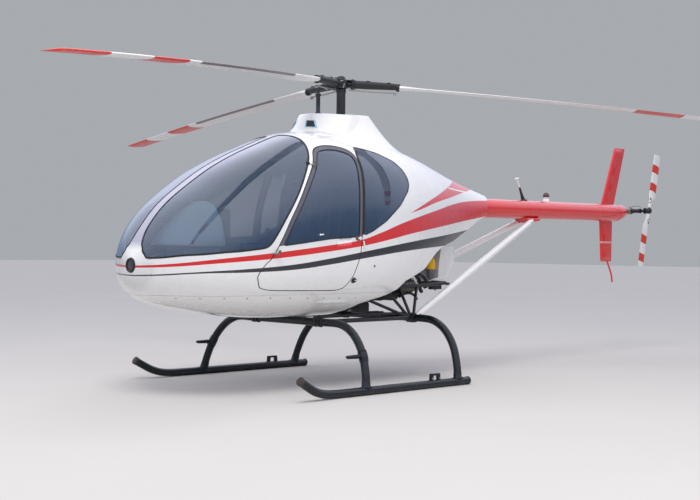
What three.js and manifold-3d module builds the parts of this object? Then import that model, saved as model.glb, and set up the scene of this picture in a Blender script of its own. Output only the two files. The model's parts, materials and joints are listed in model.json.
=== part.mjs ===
// A light two-seat helicopter on skids: three-blade main rotor, two-blade tail rotor, open engine bay.
// Millimetres, +Z up, nose towards -Y, the pilot's left towards +X, the ground at Z = 0.
import * as THREE from 'three';
import { mergeVertices } from 'three/addons/utils/BufferGeometryUtils.js';
import Module from 'manifold-3d';

const wasm = await Module();
wasm.setup();

// Driving dimensions
const ROTOR_RADIUS = 3700;
const BLADE_COUNT = 3;
const BLADE_CHORD = 180;
const HUB_HEIGHT = 2368;
const FIRST_BLADE_ANGLE = 52.3;
const MAST_RADIUS = 36;
const TAIL_ROTOR_RADIUS = 595;
const TAIL_BLADE_CHORD = 120;
const TAIL_HUB = { x: 250, y: 4165, z: 1458 };
const TAIL_BLADE_LEAN = 12;
const BOOM_RADIUS = 87.5;
const BOOM_HEIGHT = 1418;
const BOOM_START = 1450;
const BOOM_END = 4090;
const SKID_HALF_TRACK = 940;
const SKID_TUBE = 30;
const FRONT_LEG_Y = -630;
const REAR_LEG_Y = 370;
// Each arch leans back as it rises: its run along Y for each millimetre of height
const ARCH_RAKE = 0.16;
const BODY_WALL = 24;
const GLASS_THICKNESS = 7;
const SEAM = 0.3;
const DOOR_GAP = 8;
const DOOR_REBATE = 8;
const HINGE_RADIUS = 9;
const HINGE_LENGTH = 14;
const BELLY_SEAM_HEIGHT = 680;
const TAIL_SEAM_Y = 420;
const BULKHEAD_Y = -150;
const FLOOR_HEIGHT = 620;
// The part's origin is the middle of its box on the ground; the shapes below are drawn from the mast.
const MAST_FROM_ORIGIN = { x: 663, y: -453 };

// The body's sections from nose to boom: place along Y, crown height, belly height, half width,
// height of the widest point, and the roundness exponents above and below it
const BODY_SECTIONS = [
  { y: -1995, crown: 985, belly: 845, half: 70, waist: 910, over: 2.0, under: 2.0 },
  { y: -1965, crown: 1060, belly: 755, half: 200, waist: 910, over: 2.1, under: 2.1 },
  { y: -1890, crown: 1185, belly: 680, half: 350, waist: 915, over: 2.2, under: 2.2 },
  { y: -1760, crown: 1335, belly: 630, half: 490, waist: 925, over: 2.3, under: 2.4 },
  { y: -1580, crown: 1475, belly: 590, half: 592, waist: 940, over: 2.4, under: 2.6 },
  { y: -1330, crown: 1635, belly: 550, half: 632, waist: 955, over: 2.6, under: 2.8 },
  { y: -1000, crown: 1790, belly: 525, half: 642, waist: 980, over: 2.75, under: 2.8 },
  { y: -600, crown: 1930, belly: 520, half: 628, waist: 1000, over: 2.8, under: 2.8 },
  { y: -200, crown: 1945, belly: 530, half: 607, waist: 1030, over: 2.7, under: 2.8 },
  { y: 100, crown: 1925, belly: 555, half: 575, waist: 1060, over: 2.6, under: 2.7 },
  { y: 400, crown: 1885, belly: 590, half: 515, waist: 1100, over: 2.5, under: 2.6 },
  { y: 800, crown: 1800, belly: 660, half: 395, waist: 1180, over: 2.3, under: 2.4 },
  { y: 1300, crown: 1655, belly: 960, half: 225, waist: 1320, over: 2.1, under: 2.2 },
  { y: 1850, crown: 1518, belly: 1318, half: 100, waist: 1418, over: 2.0, under: 2.0 },
];
const NOSE_CENTRE = { y: -1370, radius: 620 };
const SECTION_POINTS = 28;
const RING_SPACING = 350;

// The left door's hinge line stands off the skin, so that the bulged door clears the pillar as it swings
const UPPER_HINGE = [548, -771, 1663];
const LOWER_HINGE = [669, -1219, 1013];

// Outlines in side view, as [y, z]
const WINDSHIELD_SIDE = [
  [-2060, 960], [-1933, 966], [-1765, 992], [-1518, 1018], [-1285, 1045], [-1132, 1241], [-958, 1460],
  [-849, 1611], [-778, 1704], [-735, 1790], [-715, 1850], [-720, 2100], [-2060, 2100],
];
const DOOR_SIDE = [
  [-1310, 780], [-1345, 843], [-1320, 926], [-1223, 1013], [-1088, 1242], [-901, 1499], [-771, 1663],
  [-714, 1769], [-670, 1795], [-600, 1812], [-481, 1818], [-361, 1800], [-311, 1775], [-285, 1733],
  [-288, 1640], [-310, 1509], [-337, 1334], [-352, 1124], [-375, 980], [-440, 830], [-520, 745],
  [-600, 733], [-1240, 745],
];
const DOOR_FRAME_WIDTH = 42;
const DOOR_SILL = [[-1500, 1043], [-1179, 1058], [-1005, 1078], [-702, 1115], [-300, 1140]];
const REAR_GLASS_SIDE = [
  [-225, 1815], [-179, 1812], [7, 1786], [182, 1731], [263, 1665], [295, 1600], [290, 1552], [255, 1500],
  [121, 1384], [-69, 1259], [-233, 1179], [-300, 1152], [-285, 1334], [-258, 1509], [-238, 1640],
  [-232, 1740],
];
const UNDERSIDE_OPENING = [
  [-350, 300], [-345, 540], [-260, 618], [48, 651], [295, 717], [450, 820], [700, 1040], [920, 1120],
  [1000, 1190], [1500, 1322], [1790, 1335], [1900, 1290], [1900, 300],
];
const PYLON_SIDE = [
  [-560, 1880], [-520, 1955], [-450, 2030], [-400, 2072], [-365, 2096], [-310, 2105], [230, 2130],
  [300, 2124], [410, 2025], [500, 1935], [610, 1862], [720, 1800], [720, 1700], [-560, 1700],
];
// The pylon from the front, as [x, z] on its left half
const PYLON_FRONT = [[0, 2130], [85, 2130], [115, 2100], [135, 2040], [170, 1985], [235, 1920], [300, 1700], [0, 1700]];
// The white strip between the windshield's halves: half width against height
const CENTRE_STRIP = [[150, 900], [140, 1010], [105, 1130], [70, 1350], [52, 1600], [50, 2200]];

const paint = (color, roughness = 0.3, metalness = 0.05) =>
  new THREE.MeshStandardMaterial({ color, roughness, metalness });
const white = paint(0xf2f2ee, 0.22);
const red = paint(0xcf1717, 0.22);
const black = paint(0x14171a, 0.3);
const darkMetal = paint(0x3b3e42, 0.45, 0.7);
const aluminium = paint(0xb9bcc0, 0.35, 0.8);
const yellow = paint(0xf0b410, 0.4);
const cloth = paint(0x22242a, 0.9, 0);
const glass = new THREE.MeshStandardMaterial({
  color: 0x5a6f82, roughness: 0.05, metalness: 0, transparent: true, opacity: 0.35,
});

// Solids and meshes

function solidOf(geometry) {
  const bare = geometry.clone();
  bare.deleteAttribute('normal');
  bare.deleteAttribute('uv');
  const merged = mergeVertices(bare, 1e-3);
  return new wasm.Manifold(new wasm.Mesh({
    numProp: 3,
    vertProperties: new Float32Array(merged.attributes.position.array),
    triVerts: new Uint32Array(merged.index.array),
  }));
}

function geometryOf(solid) {
  const mesh = solid.getMesh();
  const geometry = new THREE.BufferGeometry();
  geometry.setAttribute('position', new THREE.BufferAttribute(new Float32Array(mesh.vertProperties), 3));
  geometry.setIndex(new THREE.BufferAttribute(new Uint32Array(mesh.triVerts), 1));
  geometry.computeVertexNormals();
  return geometry;
}

const helicopter = new THREE.Group();
helicopter.name = 'helicopter';
helicopter.position.set(MAST_FROM_ORIGIN.x, MAST_FROM_ORIGIN.y, 0);

function add(name, shape, material) {
  const geometry = shape.isBufferGeometry ? shape : geometryOf(shape);
  const mesh = new THREE.Mesh(geometry, material);
  mesh.name = name;
  helicopter.add(mesh);
  return mesh;
}

function extruded(points, depth) {
  const shape = new THREE.Shape(points.map(([u, v]) => new THREE.Vector2(u, v)));
  return new THREE.ExtrudeGeometry(shape, { depth, bevelEnabled: false });
}

// A prism on a side-view outline [y, z], from x = low to x = high
function sidePrism(points, low, high) {
  const geometry = extruded(points, high - low);
  const turn = new THREE.Matrix4().makeBasis(
    new THREE.Vector3(0, 1, 0), new THREE.Vector3(0, 0, 1), new THREE.Vector3(1, 0, 0));
  return solidOf(geometry.applyMatrix4(turn).translate(low, 0, 0));
}

// A prism on a front-view outline [x, z], from y = low to y = high
function frontPrism(points, low, high) {
  const geometry = extruded(points.map(([x, z]) => [z, x]), high - low);
  const turn = new THREE.Matrix4().makeBasis(
    new THREE.Vector3(0, 0, 1), new THREE.Vector3(1, 0, 0), new THREE.Vector3(0, 1, 0));
  return solidOf(geometry.applyMatrix4(turn).translate(0, low, 0));
}

function block(x, y, z) {
  const geometry = new THREE.BoxGeometry(x[1] - x[0], y[1] - y[0], z[1] - z[0]);
  return geometry.translate((x[0] + x[1]) / 2, (y[0] + y[1]) / 2, (z[0] + z[1]) / 2);
}

const box = (x, y, z) => solidOf(block(x, y, z));

// A straight round bar between two points
function bar(from, to, radius, farRadius = radius, sides = 10) {
  const start = new THREE.Vector3(...from);
  const end = new THREE.Vector3(...to);
  const along = end.clone().sub(start);
  const geometry = new THREE.CylinderGeometry(farRadius, radius, along.length(), sides);
  geometry.translate(0, along.length() / 2, 0);
  geometry.applyQuaternion(new THREE.Quaternion().setFromUnitVectors(
    new THREE.Vector3(0, 1, 0), along.normalize()));
  return geometry.translate(start.x, start.y, start.z);
}

// The space that a round bar takes with its seam, as wide as the bar on the flats between the corners
function spaceAround(from, to, radius, sides = 36) {
  const reach = (radius + SEAM) / Math.cos(Math.PI / sides);
  return solidOf(bar(from, to, reach, reach, sides));
}

// A round tube bent through the points
function bentTube(points, radius, steps = 24, sides = 12) {
  const path = new THREE.CatmullRomCurve3(points.map((p) => new THREE.Vector3(...p)), false, 'centripetal');
  const ring = new THREE.Shape();
  for (let i = 0; i < sides; i += 1) {
    const angle = (i * 2 * Math.PI) / sides;
    const corner = [radius * Math.cos(angle), radius * Math.sin(angle)];
    if (i === 0) ring.moveTo(...corner);
    else ring.lineTo(...corner);
  }
  return new THREE.ExtrudeGeometry(ring, { steps, extrudePath: path, bevelEnabled: false });
}

const unite = (shapes) => shapes.map((s) => (s.isBufferGeometry ? solidOf(s) : s)).reduce((a, b) => a.add(b));

// A side-view outline moved outwards by a distance (inwards when negative), corner by corner
function grown(points, distance) {
  const area = THREE.ShapeUtils.area(points.map(([u, v]) => new THREE.Vector2(u, v)));
  const side = Math.sign(area) * distance;
  return points.map((point, i) => {
    const before = points[(i + points.length - 1) % points.length];
    const after = points[(i + 1) % points.length];
    const a = new THREE.Vector2(point[0] - before[0], point[1] - before[1]).normalize();
    const b = new THREE.Vector2(after[0] - point[0], after[1] - point[1]).normalize();
    const normal = new THREE.Vector2(a.y + b.y, -a.x - b.x).normalize();
    const reach = side / Math.max(0.5, normal.x * a.y - normal.y * a.x);
    return [point[0] + normal.x * reach, point[1] + normal.y * reach];
  });
}

const mirrored = (solid) => {
  const mesh = solid.getMesh();
  const points = new Float32Array(mesh.vertProperties);
  const faces = new Uint32Array(mesh.triVerts);
  for (let i = 0; i < points.length; i += 3) points[i] = -points[i];
  for (let i = 0; i < faces.length; i += 3) [faces[i], faces[i + 1]] = [faces[i + 1], faces[i]];
  return new wasm.Manifold(new wasm.Mesh({ numProp: 3, vertProperties: points, triVerts: faces }));
};

// The body's surface, moved in by a wall's thickness

function sectionAt(y) {
  const table = BODY_SECTIONS;
  const next = table.findIndex((s) => s.y > y);
  const i = next < 0 ? table.length - 1 : Math.max(next, 1);
  const low = table[i - 1];
  const high = table[i];
  const t = (y - low.y) / (high.y - low.y);
  const beyondLow = table[Math.max(i - 2, 0)];
  const beyondHigh = table[Math.min(i + 1, table.length - 1)];
  const mix = (key) => {
    const slopeLow = ((high[key] - beyondLow[key]) / (high.y - beyondLow.y)) * (high.y - low.y);
    const slopeHigh = ((beyondHigh[key] - low[key]) / (beyondHigh.y - low.y)) * (high.y - low.y);
    return (2 * t ** 3 - 3 * t ** 2 + 1) * low[key] + (t ** 3 - 2 * t ** 2 + t) * slopeLow
      + (3 * t ** 2 - 2 * t ** 3) * high[key] + (t ** 3 - t ** 2) * slopeHigh;
  };
  return Object.fromEntries(['crown', 'belly', 'half', 'waist', 'over', 'under'].map((k) => [k, mix(k)]));
}

function bodyRing(y, inset) {
  const s = sectionAt(y);
  const nose = y < NOSE_CENTRE.y;
  const shrink = 1 - inset / NOSE_CENTRE.radius;
  const place = nose ? NOSE_CENTRE.y + (y - NOSE_CENTRE.y) * shrink : y;
  const half = nose ? s.half * shrink : s.half - inset;
  const rise = nose ? (s.crown - s.waist) * shrink : s.crown - s.waist - inset;
  const drop = s.waist - s.belly - inset * Math.min(1, (s.waist - s.belly) / 300);
  const ring = [];
  for (let i = 0; i < SECTION_POINTS; i += 1) {
    const angle = (i * 2 * Math.PI) / SECTION_POINTS;
    const c = Math.cos(angle);
    const d = Math.sin(angle);
    const power = d >= 0 ? s.over : s.under;
    const x = half * Math.sign(c) * Math.abs(c) ** (2 / power);
    const z = s.waist + (d >= 0 ? rise : drop) * Math.sign(d) * Math.abs(d) ** (2 / power);
    ring.push([x, place, z]);
  }
  return ring;
}

// A closed solid through rings of points with the same count, ends closed by a fan
function loft(rings) {
  const count = rings[0].length;
  const middle = (ring) => [0, 1, 2].map((k) => ring.reduce((sum, p) => sum + p[k], 0) / count);
  const positions = [...rings.flat(), middle(rings[0]), middle(rings.at(-1))].flat();
  const index = [];
  for (let r = 0; r < rings.length - 1; r += 1) {
    for (let i = 0; i < count; i += 1) {
      const j = (i + 1) % count;
      const [a, b, c, d] = [r * count + i, r * count + j, (r + 1) * count + i, (r + 1) * count + j];
      index.push(a, c, b, b, c, d);
    }
  }
  const last = (rings.length - 1) * count;
  for (let i = 0; i < count; i += 1) {
    const j = (i + 1) % count;
    index.push(rings.length * count, i, j);
    index.push(rings.length * count + 1, last + j, last + i);
  }
  const geometry = new THREE.BufferGeometry();
  geometry.setAttribute('position', new THREE.Float32BufferAttribute(positions, 3));
  geometry.setIndex(index);
  return geometry;
}

function bodySolid(inset) {
  const places = BODY_SECTIONS.flatMap((s, i) => {
    const next = BODY_SECTIONS[i + 1];
    return next && next.y - s.y > RING_SPACING ? [s.y, (s.y + next.y) / 2] : [s.y];
  });
  return solidOf(loft(places.map((y) => bodyRing(y, inset))));
}

const bodyOuter = bodySolid(0);
const bodyInner = bodySolid(BODY_WALL);
const bodyShell = bodyOuter.subtract(bodyInner.add(box([-60, 60], [1800, 1860], [1360, 1476])));
const bodyMiddle = bodySolid(BODY_WALL / 2);
const glassShell = bodySolid(2).subtract(bodySolid(2 + GLASS_THICKNESS));
const wide = 1200;

// Windows and doors on the left, mirrored to the right

const stripSide = (gap) => frontPrism(
  [...CENTRE_STRIP.map(([x, z]) => [x + gap, z]), [wide, 2200], [wide, 900]], -2100, 0);
const windshieldHole = sidePrism(WINDSHIELD_SIDE, 0, wide).intersect(stripSide(0));
const windshieldPane = sidePrism(grown(WINDSHIELD_SIDE, -SEAM), 0, wide).intersect(stripSide(SEAM));
const rearGlassHole = sidePrism(REAR_GLASS_SIDE, 0, wide);
const rearGlassPane = sidePrism(grown(REAR_GLASS_SIDE, -SEAM), 0, wide);
const doorHole = sidePrism(DOOR_SIDE, 0, wide);
const doorPrism = (gap) => sidePrism(grown(DOOR_SIDE, -gap), 0, wide);
const aboveSill = (gap) => sidePrism(
  [...DOOR_SILL.map(([y, z]) => [y, z + gap]), [-300, 2100], [-1500, 2100]], 0, wide);
const doorWindow = (gap) => sidePrism(grown(DOOR_SIDE, -DOOR_GAP - DOOR_FRAME_WIDTH - gap), 0, wide)
  .intersect(aboveSill(gap));

const mastPassage = (low, high) => solidOf(bar([0, 0, low], [0, 0, high], MAST_RADIUS + 6, MAST_RADIUS + 6, 20));

// A hinge fitting: half a knuckle on the hinge line, and an arm to the skin behind or before it

const hingeLine = new THREE.Vector3(...LOWER_HINGE).sub(new THREE.Vector3(...UPPER_HINGE)).normalize();
function knuckle(centre, along, armEnd) {
  const at = (distance) => new THREE.Vector3(...centre).addScaledVector(hingeLine, distance).toArray();
  const sign = Math.sign(along);
  return unite([bar(at(sign * 0.3), at(sign * HINGE_LENGTH), HINGE_RADIUS, HINGE_RADIUS, 12),
    bar(at(sign * HINGE_LENGTH / 2), armEnd, 6, 6, 8)]);
}
const doorKnuckles = unite([knuckle(UPPER_HINGE, -1, [492, -738, 1672]), knuckle(LOWER_HINGE, -1, [624, -1182, 1022])]);
const pillarKnuckles = unite([knuckle(UPPER_HINGE, 1, [490, -801, 1656]), knuckle(LOWER_HINGE, 1, [624, -1264, 1008])]);

// Body panels

const openings = unite([windshieldHole, rearGlassHole, doorHole]);
const bothOpenings = openings.add(mirrored(openings));
const underside = sidePrism(UNDERSIDE_OPENING, -wide, wide);
const boomSpace = spaceAround([0, BOOM_START - 20, BOOM_HEIGHT], [0, 4300, BOOM_HEIGHT], BOOM_RADIUS);

add('cabin_shell', bodyShell.subtract(bothOpenings).subtract(underside).subtract(mastPassage(1800, 2000))
  .add(pillarKnuckles).add(mirrored(pillarKnuckles)).subtract(bodyInner)
  .intersect(box([-wide, wide], [-2100, TAIL_SEAM_Y - SEAM], [BELLY_SEAM_HEIGHT + SEAM, 2200])), white);
add('belly_panel', bodyShell.subtract(underside)
  .intersect(box([-wide, wide], [-2100, TAIL_SEAM_Y - SEAM], [0, BELLY_SEAM_HEIGHT])), white);
add('tail_fairing', bodyShell.subtract(underside).subtract(boomSpace)
  .intersect(box([-wide, wide], [TAIL_SEAM_Y, 1900], [0, 2200])), white);

for (const [side, turn] of [['left', (s) => s], ['right', mirrored]]) {
  add(`windshield_${side}`, turn(glassShell.intersect(windshieldPane)), glass);
  add(`rear_glass_${side}`, turn(glassShell.intersect(rearGlassPane)), glass);
  const leaf = bodyOuter.subtract(bodyMiddle).intersect(doorPrism(DOOR_GAP))
    .add(bodySolid(BODY_WALL / 2 - 3).subtract(bodyInner).intersect(doorPrism(DOOR_GAP + DOOR_REBATE)));
  add(`door_${side}`, turn(leaf.subtract(doorWindow(0)).add(doorKnuckles).subtract(bodyInner)), white);
  add(`door_glass_${side}`, turn(glassShell.intersect(doorWindow(SEAM))), glass);
}

// The mast fairing on the roof, hollow, with a small air inlet on each side

const bothSides = (points) => [...points.slice(1, -1), ...points.slice(1, -1).reverse().map(([x, z]) => [-x, z])];
const pylonShape = (inset) => sidePrism(grown(PYLON_SIDE, -inset), -400, 400)
  .intersect(frontPrism(grown(bothSides(PYLON_FRONT), -inset), -600, 800));
const inlet = sidePrism([[-515, 1975], [-430, 1982], [-425, 2030], [-490, 2025]], -400, 400);
add('roof_pylon', pylonShape(0).subtract(pylonShape(16)).subtract(bodySolid(-SEAM)).subtract(inlet)
  .subtract(mastPassage(2080, 2200)), white);

// Cabin: floor, bulkhead, seats, console, centre tube and controls

const cabinSpace = bodySolid(BODY_WALL + SEAM);
add('cabin_floor', cabinSpace.intersect(box([-wide, wide], [-1850, BULKHEAD_Y], [FLOOR_HEIGHT - 12, FLOOR_HEIGHT])),
  darkMetal);
add('rear_bulkhead', cabinSpace.intersect(box([-wide, wide], [BULKHEAD_Y + SEAM, BULKHEAD_Y + 18], [500, 1900])),
  darkMetal);
const seatBase = (wall) => box([-540 + wall, 540 - wall], [-680 + wall, BULKHEAD_Y - SEAM - wall],
  [FLOOR_HEIGHT + SEAM, 860 - wall]).intersect(bodySolid(BODY_WALL + SEAM + wall));
add('seat_base', seatBase(0).subtract(seatBase(18)), white);
for (const [side, x] of [['left', 255], ['right', -255]]) {
  add(`seat_cushion_${side}`, block([x - 225, x + 225], [-740, -270], [860 + SEAM, 950]), cloth);
  const back = sidePrism([[-330, 950 + SEAM], [-235, 950 + SEAM], [-175, 1560], [-245, 1560]], x - 220, x + 220);
  add(`seat_back_${side}`, back, cloth);
}
add('instrument_console', unite([
  sidePrism([[-1700, 1050], [-1630, 1215], [-1530, 1320], [-1400, 1378], [-1300, 1370], [-1265, 1300],
    [-1250, 1050]], -200, 200),
  sidePrism([[-1660, FLOOR_HEIGHT + SEAM], [-1620, 1060], [-1300, 1060], [-1320, FLOOR_HEIGHT + SEAM]], -110, 110),
]).intersect(cabinSpace), darkMetal);
add('centre_tube', solidOf(bentTube([[0, -1470, 1170], [0, -1220, 1350], [0, -820, 1630], [0, -430, 1850],
  [0, -380, 1960]], 24, 12, 12)).intersect(cabinSpace).subtract(
  sidePrism([[-1700, 1050], [-1630, 1215], [-1530, 1320], [-1400, 1378 + SEAM], [-1300 + SEAM, 1370 + SEAM],
    [-1265, 1300], [-1250, 1050]], -200, 200)), black);
add('control_stick', unite([
  bar([0, -850, FLOOR_HEIGHT - 20], [0, -1020, 1080], 14),
  bar([-290, -1020, 1080], [290, -1020, 1080], 11),
  bar([-290, -1020, 1070], [-290, -1000, 1190], 15),
  bar([290, -1020, 1070], [290, -1000, 1190], 15),
]).intersect(box([-400, 400], [-1200, -700], [FLOOR_HEIGHT + SEAM, 1300])), black);

// Engine bay: frame, engine, rear cowl

const raked = (legY, z) => legY + ARCH_RAKE * (z - SKID_TUBE);
const rearMiddle = 492;
const frontTopY = raked(FRONT_LEG_Y, 490);
const rearTopY = raked(REAR_LEG_Y, rearMiddle);
const frontMiddle = sectionAt(frontTopY).belly - SKID_TUBE - SEAM;
const engineRails = [-1, 1].flatMap((s) => [
  bar([s * 360, frontTopY, frontMiddle], [s * 390, rearTopY, rearMiddle], 17),
  bar([s * 260, BULKHEAD_Y - 20, 698], [s * 260, 1000, 760], 15),
  bar([s * 100, 1000, 760], [s * 100, 1230, 744], 12),
  bar([s * 388, rearTopY - 60, rearMiddle], [s * 260, 640, 738], 13),
  bar([s * 388, rearTopY - 60, rearMiddle], [s * 260, 120, 716], 13),
]);
add('engine_frame', unite([...engineRails, bar([-260, 120, 716], [260, 120, 716], 13),
  bar([-260, 640, 738], [260, 640, 738], 13), bar([-260, 1000, 760], [260, 1000, 760], 15)])
  .subtract(unite([crossTube(REAR_LEG_Y, rearMiddle, SKID_TUBE + SEAM),
    crossTube(FRONT_LEG_Y, frontMiddle, SKID_TUBE + SEAM),
    box([-600, 600], [BULKHEAD_Y - 100, BULKHEAD_Y + 18 + SEAM], [600, 800])])),
black);
const railSpace = unite([-260, 260].map((x) => spaceAround([x, -100, 702], [x, 1000, 760], 15)));
add('engine_block', sidePrism([[200, 730], [820, 763], [820, 1080], [200, 1080]], -262, 262).subtract(railSpace),
  aluminium);


add('belly_box', sidePrism([[130, 520], [rearTopY + 2, 510], [rearTopY + 2, 640], [130, 630]], -10, 170)
  .subtract(crossTube(REAR_LEG_Y, rearMiddle, SKID_TUBE + SEAM)), black);
add('oil_tank', solidOf(bar([90, 975, 775 + SEAM], [90, 975, 950], 60)), yellow);
add('rear_cowl', sidePrism([[1180, 1067], [1380, 1058], [1377, 923], [1330, 830], [1217, 755], [1103, 769],
  [1060, 860]], -130, 130).subtract(unite([-100, 100].map((x) => spaceAround([x, 1000, 760], [x, 1230, 744], 12)))),
white);

// Landing gear: two arched cross tubes on two skids, with steps, lower rails and wheel brackets

function crossTube(legY, middleHeight, radius = SKID_TUBE) {
  const half = [[944, 36], [919, 150], [855, 300], [745, 420], [610, 482], [420, middleHeight], [200, middleHeight]];
  const points = [...half, ...half.slice().reverse().map(([x, z]) => [-x, z])]
    .map(([x, z]) => [x, raked(legY, z), z]);
  return solidOf(bentTube(points, radius, 34, 12));
}
const skidPath = (x) => [[x, REAR_LEG_Y + 120, SKID_TUBE], [x, REAR_LEG_Y, SKID_TUBE], [x, 0, SKID_TUBE],
  [x, -500, SKID_TUBE], [x, -840, SKID_TUBE], [x, -960, 32],
  [x, -1070, 42], [x, -1170, 68], [x, -1250, 118], [x, -1290, 170]];
const skidSpace = unite([-SKID_HALF_TRACK, SKID_HALF_TRACK].map(
  (x) => spaceAround([x, -900, SKID_TUBE], [x, 900, SKID_TUBE], SKID_TUBE)));
const stepY = raked(FRONT_LEG_Y, 270);
const steps = [-868, 868].map((x) => bar([x, stepY - 170, 270], [x, stepY, 270], 16));
add('front_cross_tube', unite([crossTube(FRONT_LEG_Y, frontMiddle), ...steps]).subtract(skidSpace), black);
add('rear_cross_tube', crossTube(REAR_LEG_Y, rearMiddle).subtract(skidSpace), black);
for (const [side, x] of [['left', SKID_HALF_TRACK], ['right', -SKID_HALF_TRACK]]) {
  add(`skid_${side}`, unite([bentTube(skidPath(x), SKID_TUBE, 24, 12),
    block([x - 8, x + 8], [110, 126], [50, 140]), block([x - 8, x + 8], [186, 202], [50, 140]),
    block([x - 8, x + 8], [110, 202], [128, 144])]), black);
}

// Tail: boom, struts, fins, guard, gearbox and tail rotor

function lathe(profile, segments = 28) {
  return solidOf(new THREE.LatheGeometry(profile.map(([r, y]) => new THREE.Vector2(r, y)), segments));
}
const boomWall = 8;
const boom = lathe([[0, BOOM_END - 9], [70, BOOM_END - 9], [BOOM_RADIUS - boomWall, 3950],
  [BOOM_RADIUS - boomWall, BOOM_START], [BOOM_RADIUS, BOOM_START], [BOOM_RADIUS, 3950], [78, BOOM_END],
  [0, BOOM_END]]).translate([0, 0, BOOM_HEIGHT]);
add('tail_boom', boom, red);
const rearTubeSpace = crossTube(REAR_LEG_Y, rearMiddle, SKID_TUBE + SEAM);
for (const [side, s] of [['left', 1], ['right', -1]]) {
  const strut = solidOf(bar([s * 430, rearTopY, 500], [s * 62, 2470, 1330], SKID_TUBE));
  add(`strut_${side}`, strut.subtract(boomSpace).subtract(rearTubeSpace).intersect(
    box([Math.min(0, s * 700), Math.max(0, s * 700)], [0, 3000], [300, 1400])), white);
}
const FIN_HALF_THICKNESS = 14;
const upperFin = [[3640, 1480], [3880, 1480], [4080, 2075], [4070, 2092], [3890, 2092], [3872, 2080]];
const lowerFin = [[3640, 1350], [3880, 1350], [3872, 945], [3860, 930], [3680, 930], [3668, 945]];
add('upper_fin', sidePrism(upperFin, -FIN_HALF_THICKNESS, FIN_HALF_THICKNESS).subtract(boomSpace), red);
const tailGuard = bentTube([[0, 3780, 950], [0, 3800, 925], [0, 3870, 805], [0, 3890, 723]], 10, 12, 10);
add('lower_fin', unite([sidePrism(lowerFin, -FIN_HALF_THICKNESS, FIN_HALF_THICKNESS), tailGuard]).subtract(boomSpace), red);
add('beacon', lathe([[0, 0], [34, 0], [34, 45], [30, 80], [18, 96], [0, 100]])
  .rotate([90, 0, 0]).translate([0, 2750, BOOM_HEIGHT + BOOM_RADIUS - 2]).subtract(boomSpace), white);
add('antenna', solidOf(bar([0, 2400, BOOM_HEIGHT + 60], [0, 2290, 1720], 14, 6)).subtract(boomSpace), white);
add('tail_gearbox', unite([block([-50, 55], [BOOM_END + SEAM, 4235], [1398, 1518]),
  bar([50, TAIL_HUB.y, TAIL_HUB.z], [160, TAIL_HUB.y, TAIL_HUB.z], 40, 26)]), aluminium);
add('tail_rotor_hub', unite([
  bar([160.4, TAIL_HUB.y, TAIL_HUB.z], [TAIL_HUB.x + 35, TAIL_HUB.y, TAIL_HUB.z], 15),
  bar([TAIL_HUB.x - 22, TAIL_HUB.y, TAIL_HUB.z], [TAIL_HUB.x + 22, TAIL_HUB.y, TAIL_HUB.z], 42),
]), darkMetal);

// A rotor blade along a direction, from rows of distance out, chord, thickness and sink
function bladeSolid(centre, along, trailing, thick, rows, pitch) {
  const contour = [[-0.25, 0], [-0.2, 0.42], [-0.1, 0.5], [0.1, 0.46], [0.4, 0.25], [0.75, 0.04], [0.75, -0.04],
    [0.4, -0.25], [0.1, -0.46], [-0.1, -0.5], [-0.2, -0.42]].reverse();
  const c = Math.cos(pitch);
  const s = Math.sin(pitch);
  return loft(rows.map(([out, chord, depth, sink]) => contour.map(([u, v]) => {
    const back = u * chord * c + v * depth * s;
    const up = v * depth * c - u * chord * s - sink;
    return [0, 1, 2].map((k) => centre[k] + along[k] * out + trailing[k] * back + thick[k] * up);
  })));
}
const lean = THREE.MathUtils.degToRad(TAIL_BLADE_LEAN);
for (const [name, s] of [['tail_blade_1', 1], ['tail_blade_2', -1]]) {
  const root = solidOf(bar([TAIL_HUB.x - 30, TAIL_HUB.y, TAIL_HUB.z], [TAIL_HUB.x + 30, TAIL_HUB.y, TAIL_HUB.z],
    42 + SEAM));
  add(name, solidOf(bladeSolid([TAIL_HUB.x, TAIL_HUB.y, TAIL_HUB.z], [0, s * Math.sin(lean), s * Math.cos(lean)],
    [0, s * Math.cos(lean), -s * Math.sin(lean)], [1, 0, 0],
    [[30, 56, 20, 0], [90, 80, 18, 0], [150, TAIL_BLADE_CHORD, 15, 0], [560, TAIL_BLADE_CHORD, 13, 0],
      [TAIL_ROTOR_RADIUS, 96, 8, 0]], 0.12)).subtract(root), white);
}

// Main rotor: mast, hub, grips and blades, turning together

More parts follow.
